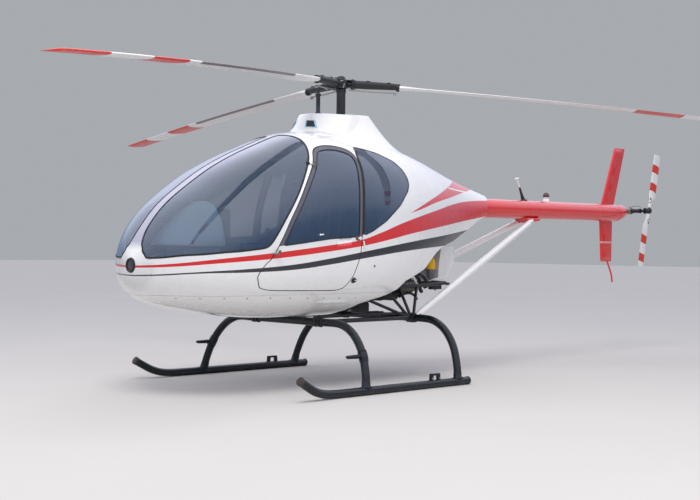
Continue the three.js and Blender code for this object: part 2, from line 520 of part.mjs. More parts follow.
add('transmission', block([-130, 130], [BULKHEAD_Y + 18 + SEAM, 160], [1480, 1780]), darkMetal);
add('mast', bar([0, 0, 1780.4], [0, 0, HUB_HEIGHT - 40], MAST_RADIUS, MAST_RADIUS, 20), darkMetal);
const hubSolid = unite([bar([0, 0, HUB_HEIGHT - 40 + SEAM], [0, 0, HUB_HEIGHT + 36], 78, 72, 24),
  bar([0, 0, HUB_HEIGHT + 30], [0, 0, HUB_HEIGHT + 62], 36, 26, 16)]);
add('rotor_hub', hubSolid, darkMetal);
const bladeSink = (out) => 0.0513 * out + 7e-6 * out * out;
for (let blade = 0; blade < BLADE_COUNT; blade += 1) {
  const angle = THREE.MathUtils.degToRad(FIRST_BLADE_ANGLE + (blade * 360) / BLADE_COUNT);
  const along = [Math.cos(angle), Math.sin(angle), 0];
  const trailing = [Math.sin(angle), -Math.cos(angle), 0];
  const place = (out) => [along[0] * out, along[1] * out, HUB_HEIGHT - bladeSink(out)];
  const grip = solidOf(bar(place(40), place(480), 36)).subtract(
    spaceAround([0, 0, HUB_HEIGHT - 60], [0, 0, HUB_HEIGHT + 60], 78));
  add(`blade_grip_${blade + 1}`, grip, black);
  const rows = [[482, 120, 44], [560, 165, 36], [700, BLADE_CHORD, 26], [1450, BLADE_CHORD, 24],
    [2250, BLADE_CHORD, 23], [3050, BLADE_CHORD, 22], [3640, BLADE_CHORD, 20], [ROTOR_RADIUS, 140, 12]];
  add(`main_blade_${blade + 1}`, bladeSolid([0, 0, HUB_HEIGHT], along, trailing, [0, 0, 1],
    rows.map((row) => [...row, bladeSink(row[0])]), THREE.MathUtils.degToRad(3)), white);
}
add('control_tube', solidOf(bar([0, -250, 2108.5 + SEAM], [0, -250, 2285], 17)), darkMetal);
add('landing_light', solidOf(bar([0, -1985, 915], [0, -2006, 915], 50, 50, 24)).subtract(bodySolid(-SEAM)), black);

export default helicopter;
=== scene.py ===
"""A light two-seat helicopter on skids, dressed over its CAD frame.

Shapes are worked out in metres from the foot of the rotor mast: x towards the pilot's left, y towards
the tail, z up from the ground. MAST is where that point stands in the frame.
"""
import json
import math

import bpy
import numpy as np
from mathutils import Matrix, Vector
from mathutils.geometry import delaunay_2d_cdt


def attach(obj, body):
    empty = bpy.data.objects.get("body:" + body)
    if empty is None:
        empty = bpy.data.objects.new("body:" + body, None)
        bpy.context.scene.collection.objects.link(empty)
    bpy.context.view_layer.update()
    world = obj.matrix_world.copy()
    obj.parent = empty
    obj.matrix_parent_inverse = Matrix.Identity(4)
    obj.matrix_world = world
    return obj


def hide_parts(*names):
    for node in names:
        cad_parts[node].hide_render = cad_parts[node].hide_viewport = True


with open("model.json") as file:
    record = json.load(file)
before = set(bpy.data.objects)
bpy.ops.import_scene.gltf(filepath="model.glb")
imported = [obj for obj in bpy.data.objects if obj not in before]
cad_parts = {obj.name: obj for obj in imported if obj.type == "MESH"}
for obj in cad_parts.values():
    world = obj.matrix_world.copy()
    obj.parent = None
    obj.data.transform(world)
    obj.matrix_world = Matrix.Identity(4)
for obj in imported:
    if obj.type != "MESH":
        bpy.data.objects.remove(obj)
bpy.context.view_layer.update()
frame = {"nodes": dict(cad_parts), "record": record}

MAST = np.array([0.663, -0.453, 0.0])

# The body's sections: place y, crown, belly, half width, waist height, roundness over and under it
SECTIONS = np.array([
    [-1.995, 0.985, 0.845, 0.070, 0.910, 2.00, 2.0],
    [-1.965, 1.060, 0.755, 0.200, 0.910, 2.10, 2.1],
    [-1.890, 1.185, 0.680, 0.350, 0.915, 2.20, 2.2],
    [-1.760, 1.335, 0.630, 0.490, 0.925, 2.30, 2.4],
    [-1.580, 1.475, 0.590, 0.592, 0.940, 2.40, 2.6],
    [-1.330, 1.635, 0.550, 0.632, 0.955, 2.60, 2.8],
    [-1.000, 1.790, 0.525, 0.642, 0.980, 2.75, 2.8],
    [-0.600, 1.930, 0.520, 0.628, 1.000, 2.80, 2.8],
    [-0.200, 1.945, 0.530, 0.607, 1.030, 2.70, 2.8],
    [0.100, 1.925, 0.555, 0.575, 1.060, 2.60, 2.7],
    [0.400, 1.885, 0.590, 0.515, 1.100, 2.50, 2.6],
    [0.800, 1.800, 0.660, 0.395, 1.180, 2.30, 2.4],
    [1.300, 1.655, 0.960, 0.225, 1.320, 2.10, 2.2],
    [1.850, 1.518, 1.318, 0.100, 1.418, 2.00, 2.0],
])
NOSE_Y, NOSE_RADIUS = -1.370, 0.620
NOSE_FRONT = SECTIONS[0, 0]
WALL = 0.024
BELLY_SEAM = 0.710
TAIL_SEAM = 0.420
GIRTH = 0.62

# Outlines in side view, as y and z
WINDSHIELD_EDGE = [
    [-1.976, 0.962], [-1.933, 0.966], [-1.765, 0.992], [-1.518, 1.018], [-1.285, 1.045], [-1.132, 1.241],
    [-0.958, 1.460], [-0.849, 1.611], [-0.778, 1.704], [-0.735, 1.790], [-0.715, 1.850],
]
STRIP_HEIGHTS = [0.90, 0.96, 1.01, 1.06, 1.15, 1.28, 1.60, 2.20]
STRIP_WIDTHS = [0.145, 0.130, 0.100, 0.070, 0.044, 0.046, 0.050, 0.042]
DOOR_EDGE = [
    [-1.352, 0.762], [-1.386, 0.846], [-1.320, 0.930], [-1.236, 1.010], [-1.088, 1.242], [-0.901, 1.499],
    [-0.771, 1.663], [-0.714, 1.769], [-0.670, 1.795], [-0.600, 1.812], [-0.481, 1.818], [-0.361, 1.800],
    [-0.311, 1.775], [-0.285, 1.733], [-0.288, 1.640], [-0.310, 1.509], [-0.337, 1.334], [-0.352, 1.124],
    [-0.375, 0.980], [-0.440, 0.830], [-0.520, 0.745], [-0.600, 0.733], [-1.262, 0.745],
]
DOOR_SILL = np.array([[-1.500, 1.043], [-1.179, 1.058], [-1.005, 1.078], [-0.702, 1.115], [-0.300, 1.140]])
REAR_GLASS_EDGE = [
    [-0.262, 1.820], [-0.179, 1.814], [0.007, 1.786], [0.182, 1.731], [0.263, 1.665], [0.295, 1.600],
    [0.290, 1.552], [0.255, 1.500], [0.121, 1.384], [-0.069, 1.259], [-0.233, 1.179], [-0.330, 1.146],
    [-0.322, 1.334], [-0.294, 1.509], [-0.271, 1.640], [-0.268, 1.760],
]
UNDERSIDE_EDGE = np.array([
    [-0.350, 0.500], [-0.345, 0.540], [-0.230, 0.622], [-0.114, 0.652], [0.035, 0.680], [0.160, 0.722],
    [0.247, 0.794], [0.363, 0.832], [0.420, 0.850], [0.521, 0.887], [0.579, 0.933], [0.641, 0.981],
    [0.709, 1.023], [0.785, 1.053], [0.913, 1.089],
    [1.073, 1.120], [1.355, 1.214], [1.629, 1.331], [1.700, 1.345],
])
FAIRING_END = 1.760


# Formulas shared by the shapes

def cubic(knots, rows, at):
    """Curve through rows of values at rising knots, read at the places given.

    Between two knots it is (2t^3 - 3t^2 + 1) a + (t^3 - 2t^2 + t) p + (3t^2 - 2t^3) b + (t^3 - t^2) q, where
    a and b are the rows, and p and q their slopes, each that of the chord between the knot's neighbours.
    """
    last = len(knots) - 1
    before, after = np.r_[0, 0:last], np.r_[1:last + 1, last]
    slopes = (rows[after] - rows[before]) / (knots[after] - knots[before])[:, None]
    i = np.clip(np.searchsorted(knots, at, side="right") - 1, 0, last - 1)
    span = (knots[i + 1] - knots[i])[..., None]
    t = (at - knots[i])[..., None] / span
    return ((2 * t**3 - 3 * t**2 + 1) * rows[i] + (t**3 - 2 * t**2 + t) * slopes[i] * span
            + (3 * t**2 - 2 * t**3) * rows[i + 1] + (t**3 - t**2) * slopes[i + 1] * span)


def full_turn(count):
    """Even angles once round, without the last one that would repeat the first."""
    return np.arange(count) * 2 * np.pi / count


def unit(rows):
    """The vectors of an array, each of length one."""
    return rows / np.linalg.norm(rows, axis=-1, keepdims=True)


def oval_reach(turn, power):
    """Distance from the middle of |x|^n + |z|^n = 1 at a turn: (|cos|^n + |sin|^n)^(-1/n)."""
    return (np.abs(np.cos(turn)) ** power + np.abs(np.sin(turn)) ** power) ** (-1 / power)


def spun(angle):
    """Matrix of a turn about the z axis."""
    return np.array([[math.cos(angle), -math.sin(angle), 0],
                     [math.sin(angle), math.cos(angle), 0], [0, 0, 1]])


# Surfaces of the body

def section_at(y):
    """One row of the section table's values for each place y, by the cubic curve through its rows."""
    knots = SECTIONS[:, 0]
    return cubic(knots, SECTIONS[:, 1:], np.clip(np.asarray(y, float), knots[0], knots[-1]))


def body_at(y, turn, inset=0.0):
    """Point of the body at place y and turn round its section (0 is the left waist, a quarter the crown).

    The section is |x/half|^n + |z/height|^n = 1, read along the ray at that turn. Inwards by inset, the
    nose shrinks towards its centre and the rest loses the inset from its half width and heights.
    """
    s = section_at(y)
    crown, belly, half, waist = (s[..., k] for k in range(4))
    up = np.sin(turn) >= 0
    power = np.where(up, s[..., 4], s[..., 5])
    shrink = np.where(y < NOSE_Y, 1 - inset / NOSE_RADIUS, 1.0)
    half = np.where(y < NOSE_Y, half * shrink, half - inset)
    rise = np.where(y < NOSE_Y, (crown - waist) * shrink, crown - waist - inset)
    drop = waist - belly - inset * np.minimum(1, (waist - belly) / 0.3)
    height = np.where(up, rise, drop)
    reach = oval_reach(turn, power)
    place = np.where(y < NOSE_Y, NOSE_Y + (y - NOSE_Y) * shrink, y)
    return np.stack([half * reach * np.cos(turn), place + 0 * turn, waist + height * reach * np.sin(turn)],
                    -1)


def turn_at(y, z):
    """Turn round the left half of the section at place y that has height z."""
    s = section_at(y)
    crown, belly, waist = s[..., 0], s[..., 1], s[..., 3]
    up = z >= waist
    power = np.where(up, s[..., 4], s[..., 5])
    rise = np.clip((z - waist) / np.where(up, crown - waist, waist - belly), -1, 1)
    return np.arctan2(rise, (1 - np.abs(rise) ** power) ** (1 / power))


def crown_turn(y, x):
    """Turn round the upper half of the section at place y that stands x to the side."""
    s = section_at(y)
    share = np.clip(x / s[..., 2], -1, 1)
    return np.arctan2((1 - np.abs(share) ** s[..., 4]) ** (1 / s[..., 4]), share)


def body_normal(points):
    """Outward direction of the body's surface, from the slope of |x/half|^n + |z/height|^n."""
    def level(p):
        s = section_at(p[:, 1])
        up = p[:, 2] >= s[:, 3]
        power = np.where(up, s[:, 4], s[:, 5])
        height = np.where(up, s[:, 0] - s[:, 3], s[:, 3] - s[:, 1])
        return (np.abs(p[:, 0]) / s[:, 2]) ** power + (np.abs(p[:, 2] - s[:, 3]) / height) ** power
    p = np.array(points, float)
    p[:, 1] = np.clip(p[:, 1], NOSE_FRONT + 2e-3, SECTIONS[-1, 0] - 1e-3)
    slope = np.stack([level(p + step) - level(p - step) for step in np.eye(3) * 5e-4], -1)
    return slope / np.maximum(np.linalg.norm(slope, axis=1), 1e-9)[:, None]


# Shapes and how they are drawn

class Shape:
    """Points, arrays of faces with the corner directions of each array where they are known, and a paint."""

    def __init__(self, points, faces, normals=None, paint=0):
        self.points = np.asarray(points, float)
        self.faces = [np.asarray(f) for f in faces if len(f)]
        self.normals = normals
        self.paint = paint

    def painted(self, paint):
        return Shape(self.points, self.faces, self.normals, paint)

    def moved(self, step):
        return Shape(self.points + np.asarray(step, float), self.faces, self.normals, self.paint)

    def turned(self, matrix):
        return Shape(self.points @ np.asarray(matrix, float).T, self.faces, None, self.paint)

    def mirrored(self):
        faces = [f[:, ::-1] for f in self.faces]
        flip = np.array([-1, 1, 1])
        normals = self.normals and [None if n is None else n[:, ::-1] * flip for n in self.normals]
        return Shape(self.points * flip, faces, normals, self.paint)

    def volume(self):
        total = 0.0
        for f in self.faces:
            corner = self.points[f] - self.points.mean(0)
            for k in range(1, f.shape[1] - 1):
                total += np.einsum("ij,ij->i", corner[:, 0], np.cross(corner[:, k], corner[:, k + 1])).sum()
        return total / 6


def grid_faces(rows, columns, wrap_rows=False):
    """Corner numbers of the quads between neighbouring rows of a grid whose columns close on themselves."""
    r = np.arange(rows if wrap_rows else rows - 1)[:, None]
    c = np.arange(columns)[None, :]
    r2, c2 = (r + 1) % rows, (c + 1) % columns
    return np.stack([r * columns + c, r * columns + c2, r2 * columns + c2, r2 * columns + c],
                    -1).reshape(-1, 4)


def loft(rings, tips=None, closed=False):
    """Surface through rings of points, ended by flat faces or by a fan to a tip, or joined end to end."""
    rings = np.asarray(rings, float)
    rows, columns = rings.shape[:2]
    points = rings.reshape(-1, 3)
    faces = [grid_faces(rows, columns, closed)]
    ring = np.arange(columns)
    far = ring + (rows - 1) * columns
    if closed:
        return Shape(points, faces)
    if tips is None:
        return Shape(points, faces + [ring[None, ::-1], far[None, :]])
    tip = np.full(columns, len(points))
    faces += [np.stack([np.roll(ring, -1), ring, tip], -1), np.stack([far, np.roll(far, -1), tip + 1], -1)]
    return Shape(np.vstack([points, tips]), faces)


def walked(points):
    """Length of the way along a line up to each of its points."""
    return np.r_[0, np.cumsum(np.linalg.norm(np.diff(points, axis=0), axis=1))]


def curve_through(points, count):
    """Cubic curve through the points, against the length of the way along their chords."""
    points = np.asarray(points, float)
    chord = walked(points)
    return cubic(chord, points, np.linspace(0, chord[-1], count))


def tube(path, radius, sides=20, edge=0.003, across=None):
    """Circle carried along a path, level with the vector across, its two end edges rounded."""
    path = np.asarray(path, float)
    radius = np.broadcast_to(np.asarray(radius, float), len(path))
    along = unit(np.gradient(path, axis=0))
    if across is None:
        across = np.eye(3)[int(np.argmin(np.abs(path[-1] - path[0]) + np.ptp(path, axis=0)))]
    side = unit(np.cross(along, across))
    lean = np.linspace(0, np.pi / 2, 4)[:, None]
    soft = np.minimum(edge, radius[[0, -1]] * 0.5)
    head = path[0] + along[0] * soft[0] * (1 - np.cos(lean))
    tail = path[-1] - along[-1] * soft[1] * (1 - np.cos(lean[::-1]))
    sizes = np.r_[radius[0] - soft[0] * (1 - np.sin(lean[:, 0])), radius[1:-1],
                  radius[-1] - soft[1] * (1 - np.sin(lean[::-1, 0]))]
    path = np.vstack([head, path[1:-1], tail])
    pick = np.r_[[0] * 4, 1:len(along) - 1, [len(along) - 1] * 4]
    side, up = side[pick], np.cross(along, side)[pick]
    turn = full_turn(sides)
    circle = np.cos(turn)[None, :, None] * side[:, None] + np.sin(turn)[None, :, None] * up[:, None]
    return loft(path[:, None] + sizes[:, None, None] * circle)


def hose(points, count, radius, sides, across=None):
    """Tube along the curve through a few points."""
    return tube(curve_through(points, count), radius, sides, across=across)


def lathe(profile, centre, axis, sides=32):
    """Profile rows of radius and distance along an axis, turned round it.

    Both ends are closed: flat, or to a point where the end row's radius is 0.
    """
    profile = np.asarray(profile, float)
    axis = np.asarray(axis, float) / np.linalg.norm(axis)
    side = np.cross(axis, np.eye(3)[int(np.argmin(np.abs(axis)))])
    side /= np.linalg.norm(side)
    up = np.cross(axis, side)
    turn = full_turn(sides)
    circle = np.cos(turn)[:, None] * side + np.sin(turn)[:, None] * up
    tips = np.asarray(centre) + profile[[0, -1], 1][:, None] * axis
    inner = profile[profile[:, 0] > 1e-6]
    rings = np.asarray(centre) + inner[:, 1][:, None, None] * axis + inner[:, 0][:, None,
                                                                                 None] * circle[None]
    return loft(rings, tips)


def outline_moved(outline, step):
    """Closed outline with each corner moved in square to its neighbours' chord by step."""
    chord = np.roll(outline, -1, 0) - np.roll(outline, 1, 0)
    chord /= np.maximum(np.linalg.norm(chord, axis=1), 1e-9)[:, None]
    area = np.sum(outline[:, 0] * np.roll(outline[:, 1], -1) - outline[:, 1] * np.roll(outline[:, 0], -1))
    return outline + np.sign(area) * step * np.stack([-chord[:, 1], chord[:, 0]], -1)


X, Y, Z = (1, 0, 0), (0, 1, 0), (0, 0, 1)
AXES = {"x": (2, 0, 1), "y": (0, 2, 1), "z": (0, 1, 2)}


def prism(outline, low, high, axis="z", edge=0.004):
    """Closed outline carried along an axis from low to high, with its two rims rounded over edge."""
    outline = np.asarray(outline, float)
    lean = np.linspace(0, np.pi / 2, 4)
    steps = [(edge * (1 - math.sin(a)), low + edge * (1 - math.cos(a))) for a in lean]
    steps += [(edge * (1 - math.sin(a)), high - edge * (1 - math.cos(a))) for a in lean[::-1]]
    rings = np.array([np.column_stack([outline_moved(outline, inset), np.full(len(outline), level)])
                      for inset, level in steps])
    return loft(rings[..., list(AXES[axis])])


def rounded_box(x, y, z, corner=0.01, edge=0.004, axis="z"):
    """Rectangle with rounded corners carried along an axis between two planes."""
    spans = {"x": (y, z, x), "y": (x, z, y), "z": (x, y, z)}[axis]
    (a0, a1), (b0, b1), (low, high) = spans
    turn = np.linspace(0, np.pi / 2, 5)
    arc = np.stack([np.cos(turn), np.sin(turn)], -1) * corner
    middles = [(a1 - corner, b1 - corner), (a0 + corner, b1 - corner), (a0 + corner, b0 + corner),
               (a1 - corner, b0 + corner)]
    outline = np.vstack([np.array(m) + arc @ spun(k * np.pi / 2)[:2, :2].T for k, m in enumerate(middles)])
    return prism(outline, low, high, axis, min(edge, corner * 0.9))


# Loops on the body, as rows of place y and girth v = turn * GIRTH

BATCH = 4000
STRIP_SIDES = 10
NOSE_TIP_OUT, NOSE_TIP_HEIGHT = 0.003, 0.915


def resampled(loop, step):
    """Closed loop walked at even steps."""
    loop = np.vstack([loop, loop[:1]])
    walk = walked(loop)
    at = np.linspace(0, walk[-1], max(8, int(walk[-1] / step)), endpoint=False)
    return np.stack([np.interp(at, walk, loop[:, k]) for k in range(loop.shape[1])], -1)


def softened(loop, width, step=0.006):
    """Closed loop with its corners rounded by a moving average over width, run twice."""
    loop = resampled(np.asarray(loop, float), step)
    reach = max(1, int(round(width / step / 2)))
    kernel = np.ones(2 * reach + 1) / (2 * reach + 1)
    for _ in range(2):
        padded = np.vstack([loop[-reach:], loop, loop[:reach]])
        loop = np.stack([np.convolve(padded[:, k], kernel, "valid") for k in range(2)], -1)
    return loop


def on_body(outline):
    """Side outline of y and z as a loop of y and girth on the left."""
    outline = np.asarray(outline, float)
    return np.stack([outline[:, 0], turn_at(outline[:, 0], outline[:, 1]) * GIRTH], -1)


def across(loop):
    """The same loop on the right side."""
    return np.stack([loop[:, 0], np.pi * GIRTH - loop[:, 1]], -1)


def inside(points, loops):
    """Even-odd test of points against closed loops."""
    a = np.vstack(loops)
    b = np.vstack([np.roll(loop, -1, 0) for loop in loops])
    rise = np.where(a[:, 1] == b[:, 1], 1e-12, b[:, 1] - a[:, 1])
    result = np.zeros(len(points), bool)
    for start in range(0, len(points), BATCH):
        p = points[start:start + BATCH]
        crosses = (a[:, 1][None] > p[:, 1:2]) != (b[:, 1][None] > p[:, 1:2])
        at = (b[:, 0] - a[:, 0])[None] * (p[:, 1:2] - a[:, 1][None]) / rise[None] + a[:, 0][None]
        result[start:start + BATCH] = (crosses & (p[:, :1] < at)).sum(1) % 2 == 1
    return result


def filled(loops, spacing):
    """Triangles that fill closed loops: their own points, and a grid of points inside them."""
    corners = np.vstack(loops)
    low, high = corners.min(0), corners.max(0)
    u, v = np.meshgrid(np.arange(low[0], high[0], spacing), np.arange(low[1], high[1], spacing),
                       indexing="ij")
    u[:, 1::2] += spacing / 2
    grid = np.stack([u, v], -1).reshape(-1, 2)
    grid = grid[inside(grid, loops)]
    near = np.zeros(len(grid))
    for start in range(0, len(grid), BATCH):
        gap = grid[start:start + BATCH, None] - corners[None]
        near[start:start + BATCH] = np.sqrt((gap**2).sum(-1).min(1))
    grid = grid[near > spacing * 0.6]
    edges, first = [], 0
    for loop in loops:
        ring = np.arange(len(loop)) + first
        edges.append(np.stack([ring, np.roll(ring, -1)], -1))
        first += len(loop)
    everything = np.vstack([corners, grid])
    made = delaunay_2d_cdt([Vector(p) for p in everything.tolist()], np.vstack(edges).tolist(), [], 0, 1e-7)
    flat = np.array(made[0])
    triangles = np.array(made[2])
    return flat, triangles[inside(flat[triangles].mean(1), loops)]


def shell(loops, outer, inner, spacing=0.03, nose=False, lining=1, rim_paint=0):
    """Closed curved panel that fills the loops between two insets of the body; lining paints its inside."""
    flat, triangles = filled(loops, spacing)
    y, turn = flat[:, 0], flat[:, 1] / GIRTH
    top, under = body_at(y, turn, outer), body_at(y, turn, inner)
    _, first, same = np.unique(np.round(top, 5), axis=0, return_index=True, return_inverse=True)
    top, under = top[first], under[first]
    triangles = same.reshape(-1)[triangles]
    triangles = triangles[(triangles[:, 0] != triangles[:, 1]) & (triangles[:, 1] != triangles[:, 2])
                          & (triangles[:, 2] != triangles[:, 0])]
    corner = top[triangles]
    facing = np.einsum("ij,ij->i", np.cross(corner[:, 1] - corner[:, 0], corner[:, 2] - corner[:, 0]),
                       body_normal(corner.mean(1)))
    triangles[facing < 0] = triangles[facing < 0][:, ::-1]
    count = len(top)
    sides = np.vstack([triangles[:, [0, 1]], triangles[:, [1, 2]], triangles[:, [2, 0]]])
    rim = sides[~np.isin(sides[:, 1] * count + sides[:, 0], sides[:, 0] * count + sides[:, 1])]
    normal_out, normal_in = body_normal(top), -body_normal(under)
    points = np.vstack([top, under])
    if nose:
        front = np.all(top[rim][:, :, 1] < NOSE_FRONT + outer + 1e-3, axis=1)
        cap, rim = rim[front], rim[~front]
        tips = np.array([[0, side[:, 1].min() - NOSE_TIP_OUT, NOSE_TIP_HEIGHT] for side in (top, under)])
        tip = np.full(len(cap), 2 * count)
        fans = [np.stack([cap[:, 1], cap[:, 0], tip], -1),
                np.stack([cap[:, 0], cap[:, 1], tip], -1) + [count, count, 1]]
        points = np.vstack([points, tips])
        ahead = np.array([0.0, -1.0, 0.0])
        normal_out = np.vstack([normal_out, np.tile(-ahead, (count, 1)), ahead, -ahead])
        fan_normals = [normal_out[fans[0]], -normal_out[fans[0]][:, [1, 0, 2]]]
    else:
        fans, fan_normals = [], []
    walls = np.stack([rim[:, 1], rim[:, 0], rim[:, 0] + count, rim[:, 1] + count], -1)
    faces = [triangles, walls] + fans + [triangles[:, ::-1] + count]
    normals = [normal_out[triangles], None] + fan_normals + [normal_in[triangles[:, ::-1]]]
    made = Shape(points, faces, normals)
    made.paint = [0, rim_paint] + ([0, lining] if nose else []) + [lining]
    return made


def strip_on_body(loop, width, height, closed=True):
    """Flattened round carried along a line of the body, width across and height proud of it."""
    p = body_at(loop[:, 0], loop[:, 1] / GIRTH)
    n = body_normal(p)
    along = np.roll(p, -1, 0) - np.roll(p, 1, 0) if closed else np.gradient(p, axis=0)
    side = unit(np.cross(n, along))
    turn = full_turn(STRIP_SIDES)
    rings = (p[:, None] + side[:, None] * (width / 2 * np.cos(turn))[None, :, None]
             + n[:, None] * (height * np.sin(turn))[None, :, None])
    return loft(rings, closed=closed)


def make(name, shapes, finishes, body="airframe", slot=None, stands_for=(), crease=35):
    """Puts shapes into one mesh in the frame, turned right side out, and rides it on its body."""
    points, loops, sizes, paints, corners, first = [], [], [], [], [], 0
    for shape in shapes:
        flip = shape.volume() < 0
        for k, face in enumerate(shape.faces):
            normals = shape.normals[k] if shape.normals else None
            face = face[:, ::-1] if flip else face
            if normals is not None and flip:
                normals = normals[:, ::-1]
            loops.append((face + first).reshape(-1))
            sizes.append(np.full(len(face), face.shape[1]))
            paint = shape.paint[k] if isinstance(shape.paint, list) else shape.paint
            paints.append(np.full(len(face), paint))
            corners.append(np.zeros((face.size, 3)) if normals is None else normals.reshape(-1, 3))
        points.append(shape.points)
        first += len(shape.points)
    points = np.vstack(points) + MAST
    loops, sizes = np.concatenate(loops), np.concatenate(sizes)
    mesh = bpy.data.meshes.new(name)
    mesh.vertices.add(len(points))
    mesh.vertices.foreach_set("co", points.astype(np.float32).reshape(-1))
    mesh.loops.add(len(loops))
    mesh.loops.foreach_set("vertex_index", loops.astype(np.int32))
    mesh.polygons.add(len(sizes))
    mesh.polygons.foreach_set("loop_start", np.r_[0, np.cumsum(sizes)[:-1]].astype(np.int32))
    mesh.polygons.foreach_set("material_index", np.concatenate(paints).astype(np.int32))
    mesh.update(calc_edges=True)
    mesh.validate()
    mesh.polygons.foreach_set("use_smooth", np.ones(len(mesh.polygons), bool))
    mesh.set_sharp_from_angle(angle=math.radians(crease))
    corners = np.vstack(corners)
    if np.any(corners) and len(corners) == len(mesh.loops):
        own = np.zeros(len(mesh.loops) * 3, np.float32)
        mesh.corner_normals.foreach_get("vector", own)
        own = own.reshape(-1, 3)
        known = np.any(corners != 0, axis=1)
        own[known] = corners[known]
        mesh.normals_split_custom_set(own.tolist())
    for finish in finishes:
        mesh.materials.append(finish)
    piece = bpy.data.objects.new(name, mesh)
    bpy.context.scene.collection.objects.link(piece)
    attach(piece, body)
    if stands_for:
        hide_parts(*stands_for)
    return piece


# Finishes

def node(tree, kind, inputs=(), **settings):
    """One shader node with its settings, and its inputs as numbers or as links from other nodes."""
    made = tree.nodes.new("ShaderNode" + kind)
    for key, value in settings.items():
        setattr(made, key, value)
    for key, value in dict(inputs).items():
        if isinstance(value, bpy.types.NodeSocket):
            tree.links.new(value, made.inputs[key])
        else:
            made.inputs[key].default_value = value
    return made


def rgba(colour):
    return (*colour, 1.0) if len(colour) == 3 else tuple(colour)


class Finish:
    """A material with one Principled shader and patterns on Object coordinates, counted from the mast."""

    def __init__(self, name, **values):
        self.material = bpy.data.materials.new(name)
        self.material.use_nodes = True
        self.tree = self.material.node_tree
        self.shader = self.tree.nodes["Principled BSDF"]
        for key, value in values.items():
            self.shader.inputs[key.replace("_", " ")].default_value = value
        place = node(self.tree, "TexCoord").outputs["Object"]
        centred = node(self.tree, "VectorMath", {0: place, 1: Vector(MAST)}, operation="SUBTRACT")
        self.place = centred.outputs[0]
        split = node(self.tree, "SeparateXYZ", {0: self.place})
        self.x, self.y, self.z = (split.outputs[k] for k in range(3))

    def math(self, operation, a, b=0.0, clamp=False):
        return node(self.tree, "Math", {0: a, 1: b}, operation=operation, use_clamp=clamp).outputs[0]

    def noise(self, scale, detail=3.0):
        return node(self.tree, "TexNoise", {"Vector": self.place, "Scale": scale,
                                            "Detail": detail}).outputs["Fac"]

    def span(self, value, low, high, to_low=0.0, to_high=1.0):
        return node(self.tree, "MapRange", {0: value, 1: low, 2: high, 3: to_low, 4: to_high}).outputs[0]

    def mix(self, share, a, b):
        mixer = node(self.tree, "Mix", {0: share}, data_type="RGBA")
        for socket, value in ((mixer.inputs[6], a), (mixer.inputs[7], b)):
            if isinstance(value, bpy.types.NodeSocket):
                self.tree.links.new(value, socket)
            else:
                socket.default_value = rgba(value)
        return mixer.outputs[2]

    def curve(self, value, low, high, points):
        """Height along a curve of (place, height) rows, read at a value between low and high."""
        share = self.span(value, low, high)
        made = node(self.tree, "FloatCurve", {"Value": share})
        line = made.mapping.curves[0]
        heights = [h for _, h in points]
        floor, top = min(heights) - 0.01, max(heights) + 0.01
        rows = [((p - low) / (high - low), (h - floor) / (top - floor)) for p, h in points]
        line.points[0].location, line.points[1].location = rows[0], rows[-1]
        for row in rows[1:-1]:
            line.points.new(*row)
        made.mapping.update()
        return self.span(made.outputs[0], 0.0, 1.0, floor, top)

    def over(self, value, edge, soft=0.0012):
        """1 where the value is over the edge, 0 under it, with a soft step."""
        return self.math("DIVIDE", self.math("SUBTRACT", value, edge), soft, clamp=True)

    def under(self, value, edge, soft=0.0012):
        """1 where the value is under the edge, 0 over it."""
        return self.math("SUBTRACT", 1.0, self.over(value, edge, soft))

    def both(self, a, b):
        return self.math("MULTIPLY", a, b)

    def within(self, value, low, high):
        """1 where the value lies between two edges, which may be numbers or curves."""
        return self.both(self.over(value, low), self.under(value, high))

    def colour(self, socket):
        self.tree.links.new(socket, self.shader.inputs["Base Color"])

    def roughness(self, low, high, scale):
        self.tree.links.new(self.span(self.noise(scale, 4.0), 0.3, 0.7, low, high),
                            self.shader.inputs["Roughness"])

    def bump(self, height, strength, distance):
        made = node(self.tree, "Bump", {"Height": height, "Strength": strength, "Distance": distance})
        self.tree.links.new(made.outputs[0], self.shader.inputs["Normal"])


def varied(name, colour, dark=0.9, scale=4.0, rough=(0.35, 0.45), grain=None, **values):
    """A finish whose colour drifts between its own and a darker one, with drifting roughness and a grain."""
    finish = Finish(name, **values)
    finish.colour(finish.mix(finish.noise(scale, 5.0), [c * dark for c in colour], colour))
    finish.roughness(*rough, scale * 3)
    if grain:
        finish.bump(finish.noise(grain[0], 3.0), grain[1], grain[2])
    return finish.material


GLASS_IOR = 1.5
WHITE = (0.86, 0.86, 0.85)
RED = (0.72, 0.018, 0.016)
STRIPE_BLACK = (0.010, 0.011, 0.020)
# Painted sky reflection: the lavender grey the sky throws on the white strip between the windshield's halves
STRIP_SKY_REFLECTION = (0.36, 0.355, 0.45)
RED_TOP = [(-2.05, 0.905), (-1.86, 0.935), (-1.65, 0.966), (-1.23, 1.010), (-0.70, 1.067), (-0.40, 1.103),
           (-0.137, 1.167), (0.10, 1.235), (0.366, 1.297), (0.71, 1.363), (1.052, 1.424), (1.338, 1.460),
           (1.95, 1.490)]
RED_FOOT = [(-2.05, 0.892), (-1.86, 0.913), (-1.65, 0.936), (-1.23, 0.969), (-0.70, 1.022), (-0.40, 1.057),
            (-0.268, 1.076), (0.012, 1.123), (0.267, 1.166), (0.58, 1.207), (1.094, 1.269), (1.587, 1.329),
            (1.95, 1.38)]
BLACK_TOP = [(-2.05, 0.838), (-1.93, 0.858), (-1.744, 0.878), (-1.477, 0.896), (-1.123, 0.921),
             (-0.701, 0.970), (-0.266, 1.031), (0.252, 1.100), (1.002, 1.176), (1.95, 1.28)]
BLACK_FOOT = [(-2.05, 0.830), (-1.93, 0.848), (-1.744, 0.866), (-1.476, 0.873), (-1.123, 0.886),
              (-0.70, 0.926), (-0.266, 0.979), (0.254, 1.034), (1.053, 1.086), (1.95, 1.15)]
